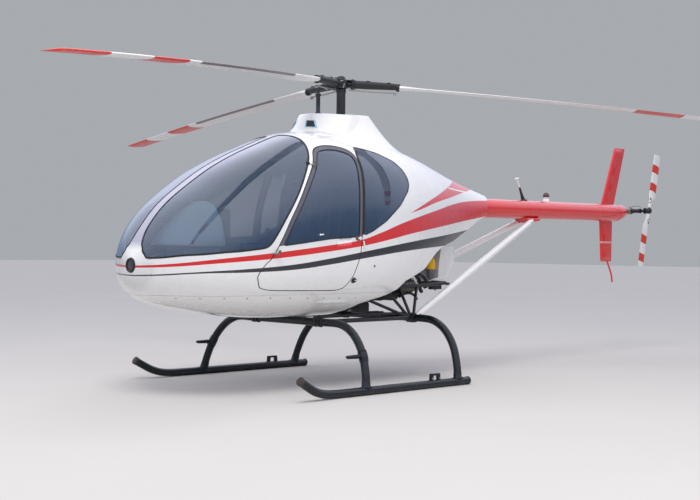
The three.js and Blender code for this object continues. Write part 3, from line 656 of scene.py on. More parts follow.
STREAK_TOP = [(0.25, 1.325), (0.532, 1.418), (0.815, 1.504), (1.147, 1.606), (1.95, 1.86)]
STREAK_FOOT = [(0.25, 1.325), (0.426, 1.362), (0.726, 1.429), (1.036, 1.484), (1.356, 1.543), (1.95, 1.64)]
STRIPE_FRONT, STRIPE_REAR = -2.05, 1.95
STREAK_FRONT = 0.25
# A white line splits the streak: where it starts, its half width, and its height at two places
SPLIT_FRONT, SPLIT_HALF = 1.04, 0.006
SPLIT_LINE = (1.0, 1.4, 1.568, 1.543)
# The strip between the windshield's halves, where a painted sky reflection lies on the white: half width,
# foot and rear end, each with its soft edge
STRIP_HALF, STRIP_LOW, STRIP_REAR = (0.10, 0.02), (1.02, 0.06), (-0.80, 0.10)
# Painted shade: the body turns darker and warmer towards the belly, standing for shade and warm light
# bounced from the ground; its colour, the heights it fades over and its greatest share
LOW_PAINTED_SHADE, LOW_SHADE_HEIGHTS, LOW_SHADE_SHARE = (0.60, 0.57, 0.53), (0.52, 0.85), 0.22


def body_paint(name):
    """White gloss with a red and a black stripe from nose to tail, and a red streak under the crown.

    Each stripe is where the height lies between two curves of the place along the body.
    """
    f = Finish(name, Coat_Weight=0.9, Coat_Roughness=0.03, Specular_IOR_Level=0.5)

    def stripe(foot, top):
        return f.within(f.z, *(f.curve(f.y, STRIPE_FRONT, STRIPE_REAR, edge) for edge in (foot, top)))
    red, black = stripe(RED_FOOT, RED_TOP), stripe(BLACK_FOOT, BLACK_TOP)
    streak = f.both(stripe(STREAK_FOOT, STREAK_TOP), f.over(f.y, STREAK_FRONT))
    from_split = f.math("ABSOLUTE", f.math("SUBTRACT", f.z, f.span(f.y, *SPLIT_LINE)))
    split = f.both(f.under(from_split, SPLIT_HALF), f.over(f.y, SPLIT_FRONT))
    streak = f.both(streak, f.math("SUBTRACT", 1.0, split))
    ground = f.mix(f.noise(2.2, 5.0), [c * 0.965 for c in WHITE], WHITE)
    # Painted shade with warm ground bounce, strongest low on the body and broken up by noise
    ground = f.mix(f.both(f.span(f.z, *LOW_SHADE_HEIGHTS, LOW_SHADE_SHARE, 0.0), f.noise(7.0, 6.0)), ground, LOW_PAINTED_SHADE)
    # Painted sky reflection on the strip between the windshield's halves, ahead of its rear end
    strip = f.both(f.under(f.math("ABSOLUTE", f.x), *STRIP_HALF), f.over(f.z, *STRIP_LOW))
    ground = f.mix(f.both(strip, f.under(f.y, *STRIP_REAR)), ground, STRIP_SKY_REFLECTION)
    ground = f.mix(f.math("MAXIMUM", red, streak), ground, f.mix(f.noise(3.0), [c * 0.9 for c in RED], RED))
    f.colour(f.mix(black, ground, STRIPE_BLACK))
    f.roughness(0.22, 0.34, 6.0)
    f.bump(f.noise(160.0, 2.0), 0.02, 0.0006)
    return f.material


def tinted_glass(name, colour, cover, gloss=1.0):
    """Tinted acrylic: see-through, with a glossy face that covers more when seen edge on."""
    f = Finish(name, Alpha=cover, IOR=GLASS_IOR, Specular_IOR_Level=0.9 * gloss, Coat_Weight=gloss,
               Coat_Roughness=0.012, Coat_IOR=2.15)
    f.colour(f.mix(f.noise(1.6, 3.0), [c * 0.85 for c in colour], colour))
    f.roughness(0.02, 0.05, 9.0)
    if gloss:
        edge_on = node(f.tree, "Fresnel", {"IOR": GLASS_IOR}).outputs[0]
        f.tree.links.new(f.span(edge_on, 0.04, 0.30, cover, 1.0), f.shader.inputs["Alpha"])
    f.material.surface_render_method = "BLENDED"
    return f.material


PAINT = body_paint("gloss white paint with stripes")
LINER = varied("grey cabin lining", (0.13, 0.135, 0.15), 0.8, 12.0, (0.7, 0.85), (900.0, 0.25, 0.001))
PLAIN_WHITE = varied("plain gloss white paint", WHITE, 0.93, 5.0, (0.2, 0.32), (200.0, 0.04, 0.0006),
                     Coat_Weight=0.8, Coat_Roughness=0.04)
RED_PAINT = varied("gloss red paint", RED, 0.95, 3.0, (0.2, 0.26), (200.0, 0.015, 0.0004), Coat_Weight=0.9,
                   Coat_Roughness=0.03)
GEAR_BLACK = varied("gloss black paint on tubes", (0.007, 0.010, 0.014), 0.75, 6.0, (0.16, 0.24),
                    (200.0, 0.03, 0.0005), Coat_Weight=0.2, Coat_Roughness=0.06, Specular_IOR_Level=0.3)
FRAME_BLACK = varied("satin black paint", (0.02, 0.021, 0.023), 0.6, 12.0, (0.38, 0.55),
                     (300.0, 0.1, 0.0008))
SEAL = varied("black rubber seal", (0.012, 0.012, 0.014), 0.7, 20.0, (0.5, 0.65), (500.0, 0.15, 0.0006))
GLASS = tinted_glass("tinted window", (0.038, 0.092, 0.190), 0.46)
GLASS_BACK = tinted_glass("window inside face", (0.020, 0.052, 0.110), 0.22, 0.0)
DOOR_RING = varied("grey door frame paint", (0.115, 0.115, 0.140), 0.85, 9.0, (0.4, 0.55),
                   (500.0, 0.1, 0.0006))
STEEL = varied("dark oiled steel", (0.07, 0.075, 0.085), 0.6, 14.0, (0.3, 0.5), (350.0, 0.1, 0.0006),
               Metallic=0.85)
CAST = varied("cast aluminium", (0.42, 0.43, 0.44), 0.7, 20.0, (0.42, 0.6), (420.0, 0.35, 0.001),
              Metallic=0.8)
CLOTH = varied("seat cloth", (0.035, 0.036, 0.042), 0.6, 15.0, (0.85, 0.95), (1400.0, 0.5, 0.001),
               Sheen_Weight=0.3)
CONSOLE = varied("pale console paint", (0.42, 0.66, 0.84), 0.92, 8.0, (0.45, 0.6), (700.0, 0.15, 0.0006))
FLOOR = varied("ribbed floor mat", (0.05, 0.052, 0.056), 0.6, 18.0, (0.8, 0.9), (800.0, 0.4, 0.001))
YELLOW = varied("yellow tank plastic", (0.98, 0.56, 0.01), 0.85, 9.0, (0.35, 0.5), (500.0, 0.1, 0.0006))
LAMP = varied("lamp glass", (0.75, 0.76, 0.78), 0.85, 30.0, (0.08, 0.16), Coat_Weight=1.0)

by_slot = {
    "body_white": PLAIN_WHITE, "boom_red": RED_PAINT, "fin_red": RED_PAINT, "window": GLASS,
    "gear_black": GEAR_BLACK, "frame_black": FRAME_BLACK, "strut_white": PLAIN_WHITE,
    "blade_white": PLAIN_WHITE, "steel_dark": STEEL, "grip_black": FRAME_BLACK, "cast_metal": CAST,
    "trim_dark": FRAME_BLACK, "floor_grey": FLOOR, "seat_cloth": CLOTH, "tank_yellow": YELLOW, "lamp": LAMP,
}
for part in frame["record"]["subparts"]:
    held = frame["nodes"][part["node"]]
    held.data.materials.clear()
    held.data.materials.append(by_slot[part["material_slot"]])


# Loops of the windows and doors on the left side

STRIP_TOP_Y, STRIP_FOOT_Y, STRIP_FOOT_HEIGHT = -0.72, -1.976, 0.985


def windshield_loop():
    """Bottom and rear edges from the side outline, then forwards along the centre strip's edge.

    The strip's width depends on its height, so its edge is found in a few rounds from a first guess.
    """
    y = np.linspace(STRIP_TOP_Y, STRIP_FOOT_Y, 90)
    turn = np.full(len(y), 1.45)
    for _ in range(6):
        height = body_at(y, turn)[:, 2]
        turn = crown_turn(y, np.interp(height, STRIP_HEIGHTS, STRIP_WIDTHS))
    upper = np.stack([y, turn * GIRTH], -1)
    upper = upper[body_at(y, turn)[:, 2] > STRIP_FOOT_HEIGHT]
    return softened(np.vstack([on_body(WINDSHIELD_EDGE), upper]), 0.075)


def halves(loop):
    """The parts of a closed loop over and under the door sill, each closed along the sill."""
    sill = on_body(DOOR_SILL)
    over = loop[:, 1] > np.interp(loop[:, 0], sill[:, 0], sill[:, 1])
    start = int(np.argmax(over & ~np.roll(over, 1)))
    loop, over = np.roll(loop, -start, 0), np.roll(over, -start)
    upper, lower = loop[over], loop[~over]

    def closed(part):
        y = np.linspace(part[-1, 0], part[0, 0], 120)[1:-1]
        return np.vstack([part, np.stack([y, np.interp(y, sill[:, 0], sill[:, 1])], -1)])
    return closed(upper), closed(lower)


GAP, FRAME_WIDTH = 0.008, 0.030
windshield = windshield_loop()
door = softened(on_body(DOOR_EDGE), 0.05)
rear_glass = softened(on_body(REAR_GLASS_EDGE), 0.03)
leaf = outline_moved(door, GAP)
leaf_upper, leaf_lower = halves(leaf)
window = softened(halves(outline_moved(door, GAP + FRAME_WIDTH))[0], 0.03)


# What comes in pairs is drawn on the left and mirrored for the right

SIDES = (("left", False), ("right", True))


def laid(loops, right):
    return [across(loop) for loop in loops] if right else loops


def on_side(shapes, right):
    return [shape.mirrored() for shape in shapes] if right else shapes


def mirrored_too(shapes):
    return shapes + on_side(shapes, True)


# Body panels

SEAM_GAP, TAIL_GAP = 0.0008, 0.0005


def lengthened(line, count):
    """Line with more points, spread evenly over its rows."""
    walk = np.linspace(0, len(line) - 1, count)
    return np.stack([np.interp(walk, np.arange(len(line)), line[:, k]) for k in range(2)], -1)


def level_line(y, z):
    return np.stack([y, turn_at(y, np.full(len(y), z)) * GIRTH], -1)


def from_below(line):
    """The line and its mirror image as one closed loop under the belly."""
    return np.vstack([line, np.stack([line[:, 0], -np.pi * GIRTH - line[:, 1]], -1)[::-1]])


seam = level_line(np.linspace(-1.919, TAIL_SEAM - TAIL_GAP, 160), BELLY_SEAM + SEAM_GAP)
nose_low = np.stack([np.linspace(NOSE_FRONT, -1.921, 12), np.full(12, -np.pi / 2 * GIRTH)], -1)
under = UNDERSIDE_EDGE[UNDERSIDE_EDGE[:, 0] > 0.15]
side_low = np.vstack([nose_low, seam[seam[:, 0] < 0.124], on_body(under[under[:, 0] < 0.419]),
                      on_body([[TAIL_SEAM - TAIL_GAP, 0.8498]])])
front_ring = np.stack([np.full(160, NOSE_FRONT), np.linspace(1.5 * np.pi, -0.5 * np.pi, 160) * GIRTH], -1)
rear_ring = np.stack([np.full(120, TAIL_SEAM - TAIL_GAP),
                      np.linspace(side_low[-1, 1], np.pi * GIRTH - side_low[-1, 1], 120)], -1)
cabin_outline = np.vstack([side_low, rear_ring[1:-1], across(side_low)[::-1], front_ring[1:-1]])
openings = [loop for left in (windshield, door, rear_glass) for loop in (left, across(left))]
cabin = shell([resampled(cabin_outline, 0.012), *openings], 0.0, WALL, nose=True, rim_paint=1)
make("cabin_body", [cabin], [PAINT, LINER], slot="body_white", stands_for=["cabin_shell"])

belly_side = level_line(np.linspace(-1.919, 0.122, 150), BELLY_SEAM - SEAM_GAP)
belly_back = on_body([[0.124, 0.7090], [0.035, 0.6800], [-0.114, 0.652], [-0.230, 0.622], [-0.330, 0.560]])
belly_line = softened(from_below(np.vstack([belly_side, belly_back])), 0.012)
make("belly_body", [shell([belly_line], 0.0, WALL)], [PAINT, LINER], slot="body_white",
     stands_for=["belly_panel"])

tail_side = on_body(np.vstack([[[TAIL_SEAM, 0.8500]], UNDERSIDE_EDGE[UNDERSIDE_EDGE[:, 0] > 0.43]]))
tail_side = lengthened(tail_side, 240)
end_turns = np.linspace(tail_side[-1, 1] / GIRTH, np.pi - tail_side[-1, 1] / GIRTH, 60)
end_places = FAIRING_END - 0.06 * (1 - np.sin(np.clip(end_turns, 0, np.pi)))
tail_end = np.stack([end_places, end_turns * GIRTH], -1)
ring_girths = np.linspace(np.pi * GIRTH - tail_side[0, 1], tail_side[0, 1], 120)
tail_ring = np.stack([np.full(120, TAIL_SEAM), ring_girths], -1)
tail_outline = np.vstack([tail_side, tail_end[1:-1], across(tail_side)[::-1], tail_ring[1:-1]])
make("tail_body", [shell([resampled(tail_outline, 0.01)], 0.0, WALL)], [PAINT, LINER], slot="body_white",
     stands_for=["tail_fairing"])

PILLAR_LINE = [[-0.258, 1.790], [-0.2745, 1.745], [-0.2785, 1.640], [-0.301, 1.509], [-0.3285, 1.334],
               [-0.342, 1.150]]
PANE = 0.007


def pane(name, loop, right, depth, **place):
    """Curved glass that fills a loop at a depth under the body's surface."""
    glass = shell(laid([loop], right), depth, depth + PANE, 0.04)
    make(name, [glass], [GLASS, GLASS_BACK], slot="window", **place)


def seal(name, line, right, width, height, closed=True, body="airframe"):
    """Rubber strip along a line of the body."""
    strip = strip_on_body(laid([line], right)[0], width, height, closed)
    make(name, [strip], [SEAL], body=body, slot="trim_dark")


for side, right in SIDES:
    pane(f"windshield_pane_{side}", outline_moved(windshield, 0.001), right, 0.001,
         stands_for=[f"windshield_{side}"])
    pane(f"rear_pane_{side}", outline_moved(rear_glass, 0.001), right, 0.001,
         stands_for=[f"rear_glass_{side}"])
    ring = shell(laid([leaf_upper, window], right), 0.0005, WALL)
    ring.paint = 2
    lower = shell(laid([leaf_lower], right), 0.0, WALL, rim_paint=1)
    make(f"door_leaf_{side}", [lower, ring], [PAINT, LINER, DOOR_RING], body=f"door_{side}",
         slot="body_white", stands_for=[f"door_{side}"])
    pane(f"door_pane_{side}", outline_moved(window, -0.002), right, 0.003, body=f"door_{side}",
         stands_for=[f"door_glass_{side}"])
    seal(f"windshield_seal_{side}", outline_moved(windshield, 0.001), right, 0.014, 0.0025)
    seal(f"rear_glass_seal_{side}", outline_moved(rear_glass, -0.001), right, 0.007, 0.002)
    seal(f"door_pane_seal_{side}", outline_moved(window, -0.001), right, 0.008, 0.002, body=f"door_{side}")
    seal(f"pillar_strip_{side}", curve_through(on_body(PILLAR_LINE), 60), right, 0.024, 0.003, closed=False)


# The mast fairing on the roof

TOP_FRONT, TOP_REAR, TOP_HALF = -0.402, 0.264, 0.112
TOP_FRONT_HEIGHT, TOP_REAR_HEIGHT, TOP_CROWN = 2.090, 2.120, 0.009
FOOT_FRONT, FOOT_REAR, FOOT_HALF = -0.508, 0.660, 0.290
FAIRING_WALL = 0.008


def oval(turn, front, rear, half, power):
    """Plan outline: |x/half|^n + |y/length|^n = 1, about a middle halfway between front and rear."""
    middle, length = (front + rear) / 2, (rear - front) / 2
    reach = oval_reach(turn, power)
    return np.stack([half * reach * np.cos(turn), middle + length * reach * np.sin(turn)], -1)


def roof_height(plan):
    s = section_at(plan[..., 1])
    share = np.clip(np.abs(plan[..., 0]) / s[..., 2], 0, 1)
    return s[..., 3] + (s[..., 0] - s[..., 3]) * (1 - share ** s[..., 4]) ** (1 / s[..., 4])


def rim_height(plan):
    """Height of the top at its rim, which slopes up towards the rear; the crown is added to it elsewhere."""
    share = (plan[..., 1] - TOP_FRONT) / (TOP_REAR - TOP_FRONT)
    return TOP_FRONT_HEIGHT + (TOP_REAR_HEIGHT - TOP_FRONT_HEIGHT) * share


def pylon_shape(wall):
    """Rings from the top's middle out to its rim, then down a cubic curve that ends along the roof.

    The curve is (1 - t)^3 a + 3 t (1 - t)^2 b + 3 t^2 (1 - t) c + t^3 d.
    """
    turn = full_turn(120)
    top = oval(turn, TOP_FRONT + wall, TOP_REAR - wall, TOP_HALF - wall, 4.0)
    foot = oval(turn, FOOT_FRONT + wall, FOOT_REAR - wall, FOOT_HALF - wall, 2.3)
    middle = np.array([0.0, (TOP_FRONT + TOP_REAR) / 2])
    rings = []
    for share in (0.3, 0.6, 0.82, 0.93, 0.975):
        plan = middle + (top - middle) * share
        rings.append(np.column_stack([plan, rim_height(plan) + TOP_CROWN * (1 - share**4) - wall]))
    near, far = top + (foot - top) * 0.34, top + (foot - top) * 0.62
    rim = rim_height(top) - wall - 0.004
    heights = [rim, rim - (rim - roof_height(foot)) * 0.46, roof_height(far) + 0.004, roof_height(foot)]
    corners = [np.column_stack([plan, height]) for plan, height in zip((top, near, far, foot), heights)]
    for t in np.linspace(0, 1, 30):
        rings.append((1 - t)**3 * corners[0] + 3 * t * (1 - t)**2 * corners[1]
                     + 3 * t**2 * (1 - t) * corners[2] + t**3 * corners[3])
    return np.array(rings), middle


outer_rings, pylon_middle = pylon_shape(0.0)
inner_rings, _ = pylon_shape(FAIRING_WALL)
pylon_peak = rim_height(pylon_middle) + TOP_CROWN
pylon_tips = np.array([[*pylon_middle, pylon_peak], [*pylon_middle, pylon_peak - FAIRING_WALL]])
make("mast_fairing", [loft(np.vstack([outer_rings, inner_rings[::-1]]), pylon_tips)], [PAINT],
     slot="body_white", stands_for=["roof_pylon"], crease=40)


# Landing gear: two arches on two skids, clamps, steps and wheel brackets

FRONT_LEG, REAR_LEG, TRACK, GEAR_TUBE = -0.630, 0.370, 0.940, 0.030
FRONT_TOP, REAR_TOP, RAKE = 0.490, 0.492, 0.16
LEG_LINE = np.array([[0.944, 0.036], [0.919, 0.150], [0.855, 0.300], [0.745, 0.420], [0.610, 0.482]])


def arch(leg_y, top):
    """Smooth curve over both legs, leaning back with its height, swept by a circle."""
    half = np.vstack([LEG_LINE, [[0.420, top], [0.200, top]]])
    half = np.vstack([half, half[::-1] * [-1, 1]])
    rows = np.column_stack([half[:, 0], leg_y + RAKE * (half[:, 1] - GEAR_TUBE), half[:, 1]])
    return hose(rows, 130, GEAR_TUBE, 28, Y)


def collar(centre, axis, radius, width, sides=28, lip=0.0015):
    """Short ring round a tube, its edges rounded."""
    return tube(np.array(centre) + np.outer([-0.5, 0, 0.5], np.asarray(axis) * width), radius, sides, lip,
                across=np.eye(3)[int(np.argmin(np.abs(axis)))])


def bolt(place, axis, radius=0.006, height=0.005):
    """Round-headed fastener that stands on a surface."""
    rows = [(radius, -0.002), (radius, height * 0.4), (radius * 0.8, height * 0.8),
            (radius * 0.4, height), (0, height)]
    return lathe([(0, -0.002)] + rows, place, axis, 10)


def leg_at(leg_y, height):
    """Point on a left leg's line at a height, and its direction there."""
    line = curve_through(np.vstack([LEG_LINE, [[0.420, FRONT_TOP]]]), 400)
    k = int(np.argmin(np.abs(line[:, 1] - height)))
    step = line[k + 1] - line[k - 1]
    direction = np.array([step[0], RAKE * step[1], step[1]])
    place = np.array([line[k, 0], leg_y + RAKE * (height - GEAR_TUBE), height])
    return place, direction / np.linalg.norm(direction)


def front_fittings():
    """Step pegs with rubber rings on clamps round the front legs."""
    place, lean = leg_at(FRONT_LEG, 0.270)
    ahead = place + [0, -0.168, 0]
    shapes = [collar(place, lean, 0.0355, 0.050), collar(place - lean * 0.036, lean, 0.034, 0.010),
              collar(place + lean * 0.036, lean, 0.034, 0.010),
              tube([place, place + [0, -0.08, 0.002], ahead + [0, 0, 0.003]], [0.0145, 0.013, 0.009],
                   16, across=Z)]
    for k in range(6):
        shapes.append(collar(place + [0, -0.060 - 0.018 * k, 0.001], Y, 0.0160 - 0.0006 * k, 0.010, 18))
    shapes += [bolt(place + [0.033, 0, 0.012], (1, 0, 0.2)), bolt(place + [0.033, 0, -0.012], (1, 0, 0.2))]
    return shapes


def feet(leg_y):
    """Saddles that hold a leg to its skid: a sleeve round the skid, a cone round the leg, and bolts."""
    place, lean = leg_at(leg_y, 0.048)
    steel = [bolt([TRACK + 0.020, leg_y + s * 0.042, 0.0535], (0.5, 0, 1), 0.007, 0.007).painted(1)
             for s in (1, -1)]
    return [tube([[TRACK, leg_y - 0.055, GEAR_TUBE + 0.0005], [TRACK, leg_y, GEAR_TUBE + 0.0005],
                  [TRACK, leg_y + 0.055, GEAR_TUBE + 0.0005]], 0.0305, 28, 0.002, across=Z),
            lathe([(0.0, 0.0), (0.0365, 0.0), (0.036, 0.008), (0.033, 0.020), (0.032, 0.050), (0.0, 0.050)],
                  place, lean, 28),
            bolt(place + lean * 0.045 + [0.030, 0, 0], (1, 0, 0.2), 0.008, 0.009).painted(1)] + steel


make("front_arch", [arch(FRONT_LEG, FRONT_TOP)] + mirrored_too(front_fittings() + feet(FRONT_LEG)),
     [GEAR_BLACK, STEEL], slot="gear_black", stands_for=["front_cross_tube"])
make("rear_arch", [arch(REAR_LEG, REAR_TOP)] + mirrored_too(feet(REAR_LEG)), [GEAR_BLACK, STEEL],
     slot="gear_black", stands_for=["rear_cross_tube"])

SKID_LINE = np.array([[0.490, 0.030], [0.370, 0.030], [0.0, 0.030], [-0.500, 0.030], [-0.840, 0.030],
                      [-0.955, 0.0315], [-1.050, 0.040], [-1.135, 0.064], [-1.215, 0.104], [-1.288, 0.146]])


def skid():
    """Tube along the skid line, with a wear strip under it and a bracket for a ground wheel; its end plugs
    are made apart.
    """
    flare = 0.030 * np.clip((-0.95 - SKID_LINE[:, 0]) / 0.34, 0, 1) ** 1.5
    line = curve_through(np.column_stack([TRACK + flare, SKID_LINE]), 120)
    shapes = [tube(line, GEAR_TUBE, 28, 0.004, across=X)]
    shapes.append(rounded_box((TRACK - 0.013, TRACK + 0.013), (-0.82, 0.44), (0.0002, 0.008), 0.004, 0.002))
    for y, lean in ((0.070, 1), (0.152, -1)):
        post = prism([[y - 0.014, 0.045], [y + 0.014, 0.045], [y + 0.012 + lean * 0.004, 0.104],
                      [y - 0.012 + lean * 0.004, 0.104]], TRACK - 0.012, TRACK + 0.012, "x", 0.002)
        shapes += [post, bolt([TRACK + 0.012, y, 0.072], X, 0.006).painted(2)]
    shapes.append(rounded_box((TRACK - 0.013, TRACK + 0.013), (0.062, 0.160), (0.092, 0.108), 0.004, 0.002))
    return shapes


tip = np.array([TRACK + 0.030, -1.288, 0.146])
tip_plug = lathe([(0.0315, -0.016), (0.0315, 0.002), (0.027, 0.006), (0.0, 0.007)], tip, (0.12, -0.86, 0.5),
                 28).painted(3)
plug = lathe([(0.0315, -0.006), (0.0315, 0.008), (0.027, 0.014), (0.0, 0.016)], [TRACK, 0.49, 0.030],
             Y, 28).painted(1)
END_CAP = varied("worn brown end cap", (0.060, 0.042, 0.034), 0.6, 30.0, (0.55, 0.7), (500.0, 0.2, 0.0006))
skid_parts = skid() + [plug, tip_plug]
for side, right in SIDES:
    make(f"skid_tube_{side}", on_side(skid_parts, right), [GEAR_BLACK, SEAL, CAST, END_CAP],
         slot="gear_black", stands_for=[f"skid_{side}"])

# Lower rails and the engine's tube frame, with clamps where the tubes meet the arches

FRAME_X = 0.260
FRONT_SADDLE = np.array([0.360, -0.5564, 0.490])
REAR_NODE = np.array([0.390, 0.4439, 0.492])


def straight(a, b, radius, sides=18):
    a, b = np.array(a, float), np.array(b, float)
    return tube(np.array([a, (a + b) / 2, b]), radius, sides, 0.002)


frame_side = [
    straight(FRONT_SADDLE, REAR_NODE, 0.017),
    straight(FRONT_SADDLE + [-0.02, 0.02, 0.036], REAR_NODE + [-0.03, -0.05, 0.038], 0.011),
    straight([FRAME_X, -0.165, 0.698], [FRAME_X, 1.0, 0.760], 0.015),
    straight([0.100, 1.0, 0.760], [0.100, 1.23, 0.744], 0.012),
    straight(REAR_NODE + [-0.002, 0.02, 0.01], [FRAME_X, 0.640, 0.738], 0.0125),
    straight(REAR_NODE + [-0.004, -0.01, 0.01], [FRAME_X, 0.430, 0.727], 0.0125),
    straight(REAR_NODE + [-0.002, -0.04, 0.01], [FRAME_X, 0.270, 0.718], 0.0125),
    straight(REAR_NODE + [-0.002, -0.06, 0.01], [FRAME_X, -0.120, 0.698], 0.0125),
    collar(REAR_NODE, X, 0.0375, 0.085),
    collar(REAR_NODE, X, 0.0400, 0.020),
    collar(REAR_NODE + [-0.038, 0, 0], X, 0.0395, 0.008),
    collar(FRONT_SADDLE, X, 0.0365, 0.060),
    collar(FRONT_SADDLE + [0.028, 0, 0], X, 0.0385, 0.008),
    collar(FRONT_SADDLE - [0.028, 0, 0], X, 0.0385, 0.008),
    prism([[0.355, 0.470], [0.515, 0.462], [0.520, 0.508], [0.440, 0.534], [0.360, 0.512]], 0.384,
          0.398, "x", 0.004),
    prism([[-0.600, 0.468], [-0.515, 0.468], [-0.505, 0.512], [-0.560, 0.530], [-0.610, 0.512]], 0.353,
          0.367, "x", 0.004),
    bolt(REAR_NODE + [0.012, -0.055, 0.0], X, 0.008, 0.008).painted(1),
    bolt(REAR_NODE + [0.012, 0.050, 0.0], X, 0.008, 0.008).painted(1),
    bolt(FRONT_SADDLE + [0.010, -0.035, 0.0], X, 0.007, 0.007).painted(1),
]
frame_middle = [straight([-FRAME_X, y, z], [FRAME_X, y, z], r) for y, z, r in
                ((0.120, 0.716, 0.013), (0.640, 0.738, 0.013), (1.0, 0.760, 0.015))]
make("engine_mount_frame", mirrored_too(frame_side) + frame_middle, [FRAME_BLACK, STEEL],
     slot="frame_black", stands_for=["engine_frame"])

# Struts, boom, fins and what stands on the boom

BOOM, BOOM_Z = 0.0875, 1.418
STRUT_FOOT, STRUT_TOP = np.array([0.428, 0.455, 0.5045]), np.array([0.066, 2.448, 1.321])
strut_way = (STRUT_TOP - STRUT_FOOT) / np.linalg.norm(STRUT_TOP - STRUT_FOOT)
strut_parts = [tube(STRUT_FOOT + np.outer([0.0, 0.04, 0.07, 1.1, 2.1], strut_way),
                    [0.022, 0.024, 0.030, 0.030, 0.030], 28, 0.002),
               tube(STRUT_FOOT + np.outer([2.095, 2.14, np.linalg.norm(STRUT_TOP - STRUT_FOOT)], strut_way),
                    [0.030, 0.026, 0.018], 28, 0.002),
               bolt(STRUT_FOOT + strut_way * 0.030 + [0.022, 0, 0.004], (1, 0.2, 0.2), 0.008,
                    0.006).painted(1),
               bolt(STRUT_FOOT + strut_way * 2.12 + [0.026, 0, 0.004], (1, 0.2, 0.2), 0.007,
                    0.006).painted(1)]
for side, right in SIDES:
    make(f"tail_strut_{side}", on_side(strut_parts, right), [PLAIN_WHITE, STEEL], slot="strut_white",
         stands_for=[f"strut_{side}"])
BOOM_RISE = 0.0055
BOOM_END = np.array([[BOOM, 1.45, 0], [BOOM, 2.2, 0], [BOOM, 3.0, 0], [BOOM, 3.6, 0], [BOOM, 3.90, 0],
                     [0.0865, 3.93, 0.001], [0.083, 3.97, 0.004], [0.077, 4.01, 0.0095],
                     [0.069, 4.04, 0.0165], [0.059, 4.065, 0.024], [0.046, 4.080, 0.030],
                     [0.026, 4.090, 0.033]])


def boom_middle(y, lift=0.0):
    return [0, y, BOOM_Z + BOOM_RISE * (y - 1.45) + lift]


boom_shapes = [tube([boom_middle(y, lift) for _, y, lift in BOOM_END], BOOM_END[:, 0], 64, across=X)]
for y in (2.405, 2.535, 3.60, 3.92):
    boom_shapes.append(collar(boom_middle(y), Y, BOOM + 0.0012, 0.006, 64, 0.0004))
strut_bracket = prism([[2.39, 1.300], [2.55, 1.318], [2.57, 1.345], [2.36, 1.345]], -0.075,
                      0.075, "x", 0.006)
make("boom_tube", boom_shapes + [strut_bracket], [RED_PAINT], slot="boom_red", stands_for=["tail_boom"])


def fin(rows, thickness):
    """Symmetric section between a leading and a trailing edge, row by row.

    Half of it is 2.015 d (sqrt(t) - t) at a share t of the chord, d being its full thickness.
    """
    t = (1 - np.cos(np.linspace(0, np.pi, 28))) / 2
    half = 2.6 * thickness / 2 * (np.sqrt(t) - t) * 1.55
    half = np.maximum(half, 0.0012)
    rings = []
    for front, rear, z, fat in rows:
        along = front + (rear - front) * t
        ring = np.vstack([np.column_stack([half * fat, along]),
                          np.column_stack([-half * fat, along])[::-1]])
        rings.append(np.column_stack([ring, np.full(len(ring), z)]))
    return loft(rings)


def between(low, high, count, rounding):
    """Fin rows from a low to a high edge pair, thinned over the last stretch."""
    share = np.linspace(0, 1, count)
    fat = 1 - np.clip((share - 1 + rounding) / rounding, 0, 1) ** 3 * 0.75
    low, high = np.array(low), np.array(high)
    return [(*(low + (high - low) * s), f) for s, f in zip(share, fat)]


FIN_BAND, FIN_BAND_COLOUR = (1.119, 1.138), (0.72, 0.36, 0.36)


def fin_paint(name):
    """Red gloss with one pale band round the lower fin."""
    f = Finish(name, Coat_Weight=0.9, Coat_Roughness=0.03)
    ground = f.mix(f.noise(3.0), [c * 0.94 for c in RED], RED)
    f.colour(f.mix(f.within(f.z, *FIN_BAND), ground, FIN_BAND_COLOUR))
    f.roughness(0.2, 0.25, 6.0)
    f.bump(f.noise(200.0, 2.0), 0.012, 0.0004)
    return f.material


FIN_RED = fin_paint("red fin paint")
upper_rows = between((3.662, 3.892, 1.490), (3.902, 4.090, 2.090), 30, 0.03) + [(3.910, 4.086, 2.099, 0.2)]
lower_rows = between((3.650, 3.876, 1.360), (3.676, 3.868, 0.945), 24, 0.03) + [(3.684, 3.862, 0.934, 0.2)]
make("fin_upper", [fin(upper_rows, 0.028)], [FIN_RED], slot="fin_red", stands_for=["upper_fin"])
guard = hose([[0, 3.780, 0.950], [0, 3.800, 0.925], [0, 3.870, 0.805], [0, 3.890, 0.723]], 40,
             0.0095, 14, X)
make("fin_lower", [fin(lower_rows, 0.028), guard], [FIN_RED], slot="fin_red", stands_for=["lower_fin"])

BEACON_GLASS = varied("dark beacon dome", (0.10, 0.02, 0.03), 0.7, 30.0, (0.05, 0.1), Coat_Weight=1.0)
BOOM_BACK = BOOM_Z + BOOM - 0.004
BEACON = [0, 2.75, BOOM_BACK]
make("beacon_lamp", [
    lathe([(0.036, -0.004), (0.036, 0.012), (0.033, 0.018), (0.031, 0.040)], BEACON, Z),
    lathe([(0.0305, 0.036), (0.031, 0.060), (0.029, 0.078), (0.024, 0.090), (0.014, 0.098), (0, 0.1005)],
          BEACON, Z).painted(1),
    collar([0, 2.75, BOOM_BACK + 0.046], Z, 0.0325, 0.006)], [PLAIN_WHITE, BEACON_GLASS], slot="lamp",
    stands_for=["beacon"])
aerial = np.array([[0, 2.400, 1.500], [0, 2.370, 1.560], [0, 2.335, 1.630], [0, 2.293, 1.712]])
make("aerial", [tube(aerial[:3], [0.020, 0.013, 0.009], 16, across=X).painted(1),
                tube(aerial[2:], [0.0075, 0.006], 14, across=X),
                tube([[0, 2.318, 1.712], [0, 2.272, 1.706]], 0.010, 14, across=X),
                lathe([(0.036, 0), (0.034, 0.010), (0.022, 0.022), (0, 0.030)], [0, 2.400, BOOM_BACK],
                      Z).painted(1)], [PLAIN_WHITE, FRAME_BLACK], slot="strut_white",
     stands_for=["antenna"])

# Tail gearbox and tail rotor

